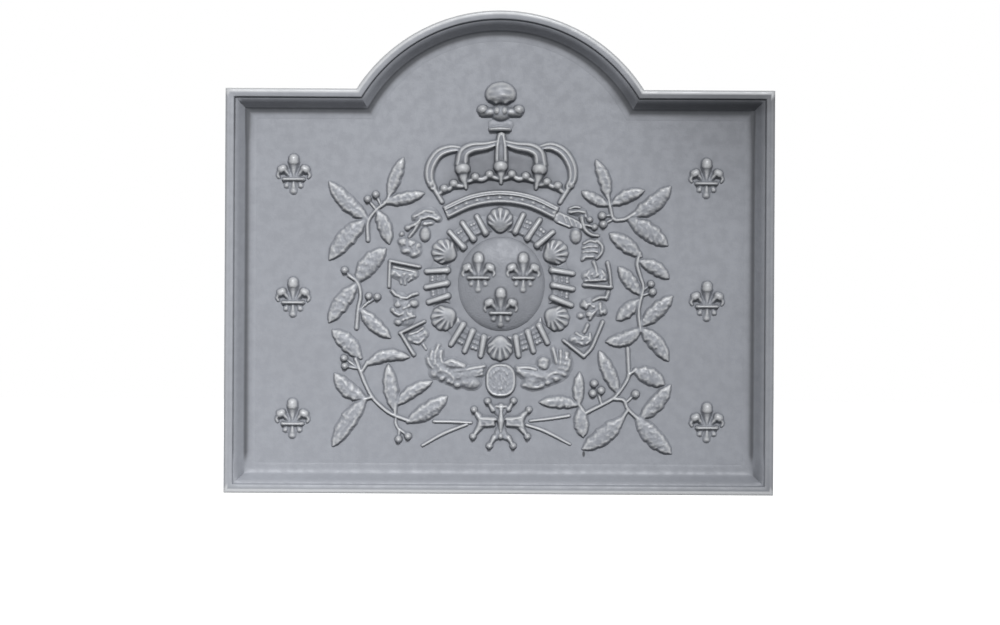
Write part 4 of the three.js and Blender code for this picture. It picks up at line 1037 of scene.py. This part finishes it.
SWAGS = {
    "swag_left": [
        ([(-62, 156), (-76, 165), (-85, 176), (-80, 190)], [18, 27, 21, 6], 4.4, swell),
        ([(-80, 196), (-84, 186), (-84, 174), (-76, 164)], [3.9, 5.7, 5.7, 4.5], 5.9),
        ([(-88, 189), (-90, 180), (-85, 169)], [3.9, 5.5, 4.5], 5.3),
        ([(-94, 179), (-92, 172), (-86, 165)], [4.4, 5.2, 4.4], 4.7),
        ([(-76, 189), (-77, 180), (-74, 171)], [3.9, 5.2, 4.5], 5.3),
        ([(-71, 173), (-63, 175.5), (-56, 172), (-47, 169)], [5.2, 7.8, 11.7, 7.8], 6.7),
        ([(-68, 171), (-59, 170), (-49, 168)], [11, 15, 11], 5.8, swell),
        ([(-72, 156), (-54, 156), (-38, 157), (-24, 163)], [10, 19, 19, 8], 4.6, swell),
        ([(-60, 162), (-44, 164), (-30, 167), (-20, 168.5)], [5.2, 6, 5.7, 3.9], 5.3),
        ([(-50, 158), (-36, 161), (-22, 163.5)], [5.2, 5.7, 3.9], 4.9),
        ([(-42, 154), (-30, 156), (-22, 158.5)], [5.2, 5.2, 3.9], 4.3),
        ([(-80, 163), (-71, 162), (-64, 158), (-60, 152)], [5.2, 6.5, 7.8, 5.2], 5.9),
        ((-75, 153), 5, 4.2, 5.8), ((-66, 149.5), 5, 4.4, 5.2), ((-55, 144.5), 5.4, 4.8, 6.4),
        ((-84, 160), 8, 8, 4.2), ((-46, 148), 8, 7, 4.8), ((-35, 148), 9, 9, 5), ((-37, 147), 13, 9, 5),
        ([(-62, 146), (-58, 152)], 4.7, 5.1),
    ],
    "swag_right": [
        ([(62, 152), (75, 161), (85, 172), (86, 186)], [17, 25, 21, 8], 4.4, swell),
        ([(69, 192), (72, 183), (74, 173)], [4.4, 5.7, 4.9], 5.3),
        ([(79, 189), (79, 180), (78, 170)], [4.4, 5.7, 4.9], 5.5),
        ([(88, 186), (87, 177), (82, 168)], [4.4, 5.7, 4.9], 5.5),
        ([(91, 177), (89, 168), (82, 160)], [4.7, 5.7, 4.7], 4.9),
        ([(24, 163), (38, 157), (54, 156), (70, 160)], [9, 19, 19, 10], 4.6, swell),
        ([(22, 167), (36, 167), (47, 165)], [3.9, 6, 5.2], 4.9),
        ([(24, 162), (38, 161), (50, 160)], [3.9, 5.7, 5.2], 4.5),
        ([(30, 156.5), (42, 156), (54, 155)], [3.9, 5.7, 5.2], 4.1), ((56.5, 171.5), 8.4, 9, 6.4),
        ([(51, 176), (56, 179), (62, 177)], [3.9, 5.2, 3.9], 6.9),
        ([(57, 171), (59, 166)], [5.2, 3.9], 6.5),
        ([(60, 153), (66, 159), (74, 161)], [5.7, 6.5, 5.7], 6.1), ((73, 153), 5.4, 5, 6),
        ((62, 148), 5.4, 4.6, 5.4), ((54, 144), 4.4, 3.8, 6.2), ((40, 148), 10, 9, 4.8),
        ((83, 160), 6, 6, 4.6), ([(31, 144), (42, 141), (52, 142)], [5.2, 6.5, 5.2], 4.3),
    ],
}


class FIREBACK_OT_swags(bpy.types.Operator):
    """Two draped swags of leaves and flowers under the collar"""
    bl_idname = "fireback.swags"
    bl_label = "Swags"

    def execute(self, context):
        for seed, (name, forms) in enumerate(SWAGS.items(), 70):
            relief_piece(name, laid_forms(forms, seed, 0.6, 1.1))
        return {"FINISHED"}


# ------------------------ laurel branches

LEAF_RISE = 6.0


def leaf_form(patch, base, tip, width, bow, seed):
    """A leaf: toothed edge, sunk midrib and a rolled upper edge."""
    base, tip = np.array(base, float), np.array(tip, float)
    length = np.hypot(*(tip - base))
    normal = np.array([-(tip - base)[1], (tip - base)[0]]) / length
    middle = (base + tip) / 2 + normal * bow
    place, distance, side, _ = along(patch, [base, middle, tip], 40)
    generator = random.Random(seed)
    shape = np.interp(place, [0, 0.1, 0.25, 0.45, 0.65, 0.82, 0.93, 1],
                      [0.26, 0.5, 0.86, 1.0, 0.95, 0.74, 0.46, 0.12])
    teeth = 4.2 + generator.uniform(-0.7, 0.7)
    saw = (place * teeth + np.where(side > 0, 0.0, 0.45) + generator.random()) % 1
    toothed = 1 + 0.10 * (saw - 0.5) + 0.04 * np.sin(place * 23 + 7 * generator.random())
    half = width / 2 * 0.95 * shape * toothed
    across = np.clip(distance / np.maximum(half, 0.4), 0, 1)
    body = np.clip(1 - across ** 3.4, 0, None) ** 0.65
    crown = 0.94 - 0.24 * across ** 2 + 0.12 * np.exp(-((across - 0.72) / 0.16) ** 2) * (side > 0)
    groove = 0.045 * np.exp(-(distance / 0.8) ** 2) * np.clip((0.7 - place) * 4, 0, 1)
    crinkle = (0.035 * lumps(patch, 3.6, seed) + 0.055 * lumps(patch, 7.0, seed + 1)) * (0.5 + across)
    rise = LEAF_RISE * np.interp(place, [0, 0.15, 0.45, 0.85, 1], [0.5, 0.8, 1.0, 0.9, 0.55])
    return rise * body * (crown - groove + crinkle)


# Stems, leaves as (base, tip, width, bow), other stalks, and berries as (radius, line of its stalk).
LAURELS = {
    "laurel_left_top": (
        [[(-144, 394), (-151, 381), (-163, 371), (-174, 355), (-174, 331)]],
        [((-174, 358), (-225, 407), 23, 3), ((-147, 388), (-128.5, 439), 18, 1),
         ((-153, 381), (-101, 393), 18, -1), ((-162, 370), (-146, 327), 20, 2),
         ((-177, 358), (-224, 306), 26, -3)],
        [],
        [(5, [(-174.5, 385), (-164, 372)]), (5, [(-164, 391), (-157, 377)])]),
    "laurel_left_middle": (
        [[(-198, 284), (-187, 275), (-183, 258), (-186, 240), (-188, 215)]],
        [((-188, 276), (-151, 319), 27, 3), ((-188, 273), (-224, 223), 23, -2),
         ((-183, 240), (-144, 203), 20, -2)],
        [[(-184, 239), (-172, 250)]],
        [(5, [(-204, 291), (-196, 282)]), (5, [(-172, 257), (-172, 249)]), (5, [(-161, 256), (-172, 249)])]),
    "laurel_left_lower": (
        [[(-189, 176), (-182, 158), (-176, 143), (-167, 126), (-156, 114.5), (-145, 106),
          (-135, 101), (-118, 95)],
         [(-182, 158), (-173, 172)], [(-167, 126), (-178, 123)], [(-137, 103), (-136, 118)]],
        [((-183, 178), (-219, 213), 24, -2), ((-175, 169), (-119, 179), 18, 7),
         ((-176, 124), (-216, 156), 23, 5), ((-176, 124), (-218, 62), 24, -2),
         ((-137, 108), (-146, 168), 21, 1), ((-136, 116), (-89, 147), 18, 3),
         ((-120, 94), (-69, 127), 24, -2)],
        [[(-135, 101), (-136, 92), (-131, 82)]],
        [(5, [(-204, 177), (-184, 163)]), (5, [(-203, 167), (-184, 163)]), (5, [(-132, 71), (-131, 84)]),
         (5, [(-119.5, 75), (-131, 84)])]),
    "laurel_right_top": (
        [[(142, 392), (145, 377), (149.5, 361), (160, 360), (167, 362), (178, 369)]],
        [((143, 379), (108, 396.5), 16, 1), ((142, 388), (126.5, 438), 18, -3),
         ((147, 380), (189, 398.5), 19, 2), ((174, 364), (224, 403.5), 24, -4),
         ((170, 361), (220, 327), 26, 1)],
        [],
        [(5.6, [(134.5, 365), (148, 366)]), (5.6, [(136, 354), (151.5, 362)])]),
    "laurel_right_middle": (
        [[(182, 318), (179, 303), (183, 287), (187, 274), (185, 262), (181, 242), (184, 215)]],
        [((183, 314), (143, 343), 22, -1), ((182, 307), (220, 285), 20, 3),
         ((183, 264), (155, 299), 20, 0), ((181, 256), (153, 230), 20, 0), ((184, 222), (225, 261), 22, 0),
         ((184, 218), (139, 201), 21, 5), ((184, 219), (220, 177), 22, 3)],
        [],
        [(5, [(197, 277), (186, 268)]), (5.6, [(199, 267), (186, 262)])]),
    "laurel_right_lower": (
        [[(167, 192), (168, 170), (168, 155), (160.5, 141), (150, 128), (137, 120),
          (121.5, 112), (110, 106)],
         [(149, 126), (162, 124), (168, 112), (184, 97)], [(168, 112), (160, 100)],
         [(168, 157), (178, 165)], [(112, 106), (102, 120)]],
        [((155, 133), (130, 188), 20, 0), ((176, 163), (215, 145), 25, 2), ((184, 99), (223, 144), 22, -2),
         ((161, 101), (109, 60), 25, 3), ((179, 102), (224, 55), 26, -2), ((103, 116), (104, 160), 16, 1),
         ((103, 118), (52, 121), 18, -2), ((104, 113), (109, 76), 21, 0)],
        [[(123, 145), (127, 138), (133, 119)]],
        [(5.6, [(123, 146)]), (5.6, [(132, 137)]), (5.6, [(121.5, 133.3)]),
         (5.6, [(177.5, 132.5), (166, 122)])]),
}


class FIREBACK_OT_laurels(bpy.types.Operator):
    """Six sprigs of the two laurel branches, with their leaves, stems and berries"""
    bl_idname = "fireback.laurels"
    bl_label = "Laurel branches"

    def execute(self, context):
        for number, (name, (stems, leaves, stalks, berries)) in enumerate(LAURELS.items()):
            held = stalks + [line for _, line in berries if len(line) > 1]
            spots = [p for line in stems + stalks + [line for _, line in berries] for p in line]
            spots += [p for leaf in leaves for p in leaf[:2]]
            xs, zs = zip(*spots)
            patch = Patch(min(xs) - 11, max(xs) + 11, min(zs) - 11, max(zs) + 11)
            patch.lay(*[(line, 3.6, 2.6) for line in held])
            patch.lay(*[(line, [5.4, 4.6, 5.4], 3.8) for line in stems])
            for i, leaf in enumerate(leaves):
                patch.add(leaf_form(patch, *leaf, 100 * number + i))
            for radius, line in berries:
                patch.lay((line[0], 0.93 * radius, 0.93 * radius, 8.2, ball))
            patch.roughen(0.25, 9, number, 4)
            relief_piece(name, patch)
        return {"FINISHED"}


STEM_ENDS = {
    "stem_end_left_upper": ([(-87, 95), (-60, 94.5), (-38, 93.5)], [4, 4.4, 3]),
    "stem_end_left_lower": ([(-100, 62), (-72, 78), (-42, 90)], [3.4, 5, 4]),
    "stem_end_right_upper": ([(38, 96), (64, 99), (89, 103)], [3, 4, 4.4]),
    "stem_end_right_lower": ([(34, 91), (58, 83), (91, 66)], [4, 5, 3]),
}


class FIREBACK_OT_stem_ends(bpy.types.Operator):
    """Bare ends of the stems, which point at the cross"""
    bl_idname = "fireback.stem_ends"
    bl_label = "Stem ends"

    def execute(self, context):
        for name, (points, widths) in STEM_ENDS.items():
            relief_piece(name, laid_forms([(points, widths, 2.8)]))
        return {"FINISHED"}


# ------------------------ stage

# The camera stands square in front, and this much of the field's plane fills its picture's width.
CAMERA = (0.001, -2.4, 0.2374)
CAMERA_ROLL = -0.31
PICTURE_WIDTH, SENSOR = 1.3093, 36
PICTURE_PLANE = -0.01
LAMP, LAMP_AIM = (0.35, -5.05, 3.55), (-0.58, 0.0, -0.46)
LAMP_SIZE, LAMP_POWER, LAMP_SPREAD = 0.9, 21.5, 39
FLOOR_HALF = 2.5


def seen(tree):
    """One where the camera, a mirror or glass looks, and nought where light is only gathered."""
    total = add_node(tree, "LightPath", out="Is Camera Ray")
    for name in ("Is Glossy Ray", "Is Transmission Ray"):
        ray = add_node(tree, "LightPath", out=name)
        total = add_node(tree, "Math", (total, ray), operation="MAXIMUM")
    return total


def floor_white():
    """Matt white paper: it stays white to the eye, and only the object's shadow greys it."""
    material, tree = new_material("Floor white")
    paper = add_node(tree, "BsdfDiffuse", {"Color": linear("B8B8B8")})
    # The paper glows fully from half a metre outside the object on, so that no horizon shows.
    place = add_node(tree, "TexCoord", out="Object")
    away = add_node(tree, "VectorMath", (place,), out="Value", operation="LENGTH")
    glow = add_node(tree, "MapRange", (away, 0.5, 1.0, 0.94, 1.0))
    share = add_node(tree, "Math", (seen(tree), glow), operation="MULTIPLY")
    lit = add_node(tree, "Emission", {"Color": (1, 1, 1, 1), "Strength": share})
    add_node(tree, "OutputMaterial", {"Surface": add_node(tree, "AddShader", (paper, lit))})
    return material


class FIREBACK_OT_stage(bpy.types.Operator):
    """White backdrop, soft light from above and the camera square in front"""
    bl_idname = "fireback.stage"
    bl_label = "Stage"

    def execute(self, context):
        world = bpy.data.worlds.new("Studio")
        bpy.context.scene.world = world
        world.use_nodes = True
        tree = world.node_tree
        tree.nodes.clear()
        soft = add_node(tree, "Background", {"Color": (1, 1, 1, 1), "Strength": 0.04})
        white = add_node(tree, "Background", {"Color": (1, 1, 1, 1), "Strength": 1.0})
        add_node(tree, "OutputWorld", {"Surface": add_node(tree, "MixShader", (seen(tree), soft, white))})

        lamp = bpy.data.lights.new("Key", "AREA")
        lamp.shape, lamp.size, lamp.energy = "DISK", LAMP_SIZE, LAMP_POWER
        lamp.spread = math.radians(LAMP_SPREAD)
        key = placed("Key", lamp)
        key.location = LAMP
        key.rotation_euler = (Vector(LAMP_AIM) - Vector(LAMP)).to_track_quat("-Z", "Y").to_euler()

        bm = bmesh.new()
        bmesh.ops.create_grid(bm, x_segments=1, y_segments=1, size=FLOOR_HALF)
        mesh = bpy.data.meshes.new("floor")
        bm.to_mesh(mesh)
        bm.free()
        mesh.materials.append(floor_white())
        placed("floor", mesh)

        data = bpy.data.cameras.new("Camera")
        camera = placed("Camera", data)
        camera.location = CAMERA
        camera.rotation_euler = (math.pi / 2, math.radians(CAMERA_ROLL), 0)
        data.sensor_width = SENSOR
        data.lens = SENSOR * (PICTURE_PLANE - CAMERA[1]) / PICTURE_WIDTH
        data.clip_end = 50
        bpy.context.scene.camera = camera
        bpy.context.scene.view_settings.view_transform = "Standard"
        return {"FINISHED"}


# ------------------------ add-on

OPERATORS = (
    FIREBACK_OT_plate, FIREBACK_OT_rim, FIREBACK_OT_field_fleurs, FIREBACK_OT_shield,
    FIREBACK_OT_collar, FIREBACK_OT_crown, FIREBACK_OT_outer_collar, FIREBACK_OT_medallion,
    FIREBACK_OT_cross, FIREBACK_OT_swags, FIREBACK_OT_laurels, FIREBACK_OT_stem_ends,
    FIREBACK_OT_stage,
)


class FIREBACK_PT_panel(bpy.types.Panel):
    """Pieces of the fireback, and the sizes and colours they are made with"""
    bl_label = "Fireback"
    bl_idname = "FIREBACK_PT_panel"
    bl_space_type = "VIEW_3D"
    bl_region_type = "UI"
    bl_category = "Fireback"

    def draw(self, context):
        for group in (sizes(), colours()):
            for name in group.bl_rna.properties.keys():
                if name not in ("rna_type", "name"):
                    self.layout.prop(group, name)
        for operator in OPERATORS:
            self.layout.operator(operator.bl_idname)


CLASSES = (FirebackSizes, FirebackColours) + OPERATORS + (FIREBACK_PT_panel,)


def register():
    for one in CLASSES:
        bpy.utils.register_class(one)
    bpy.types.Scene.fireback_sizes = PointerProperty(type=FirebackSizes)
    bpy.types.Scene.fireback_colours = PointerProperty(type=FirebackColours)


def unregister():
    del bpy.types.Scene.fireback_colours
    del bpy.types.Scene.fireback_sizes
    for one in reversed(CLASSES):
        bpy.utils.unregister_class(one)


def main():
    register()
    for operator in OPERATORS:
        group, name = operator.bl_idname.split(".")
        getattr(getattr(bpy.ops, group), name)()


if __name__ == "__main__":
    main()
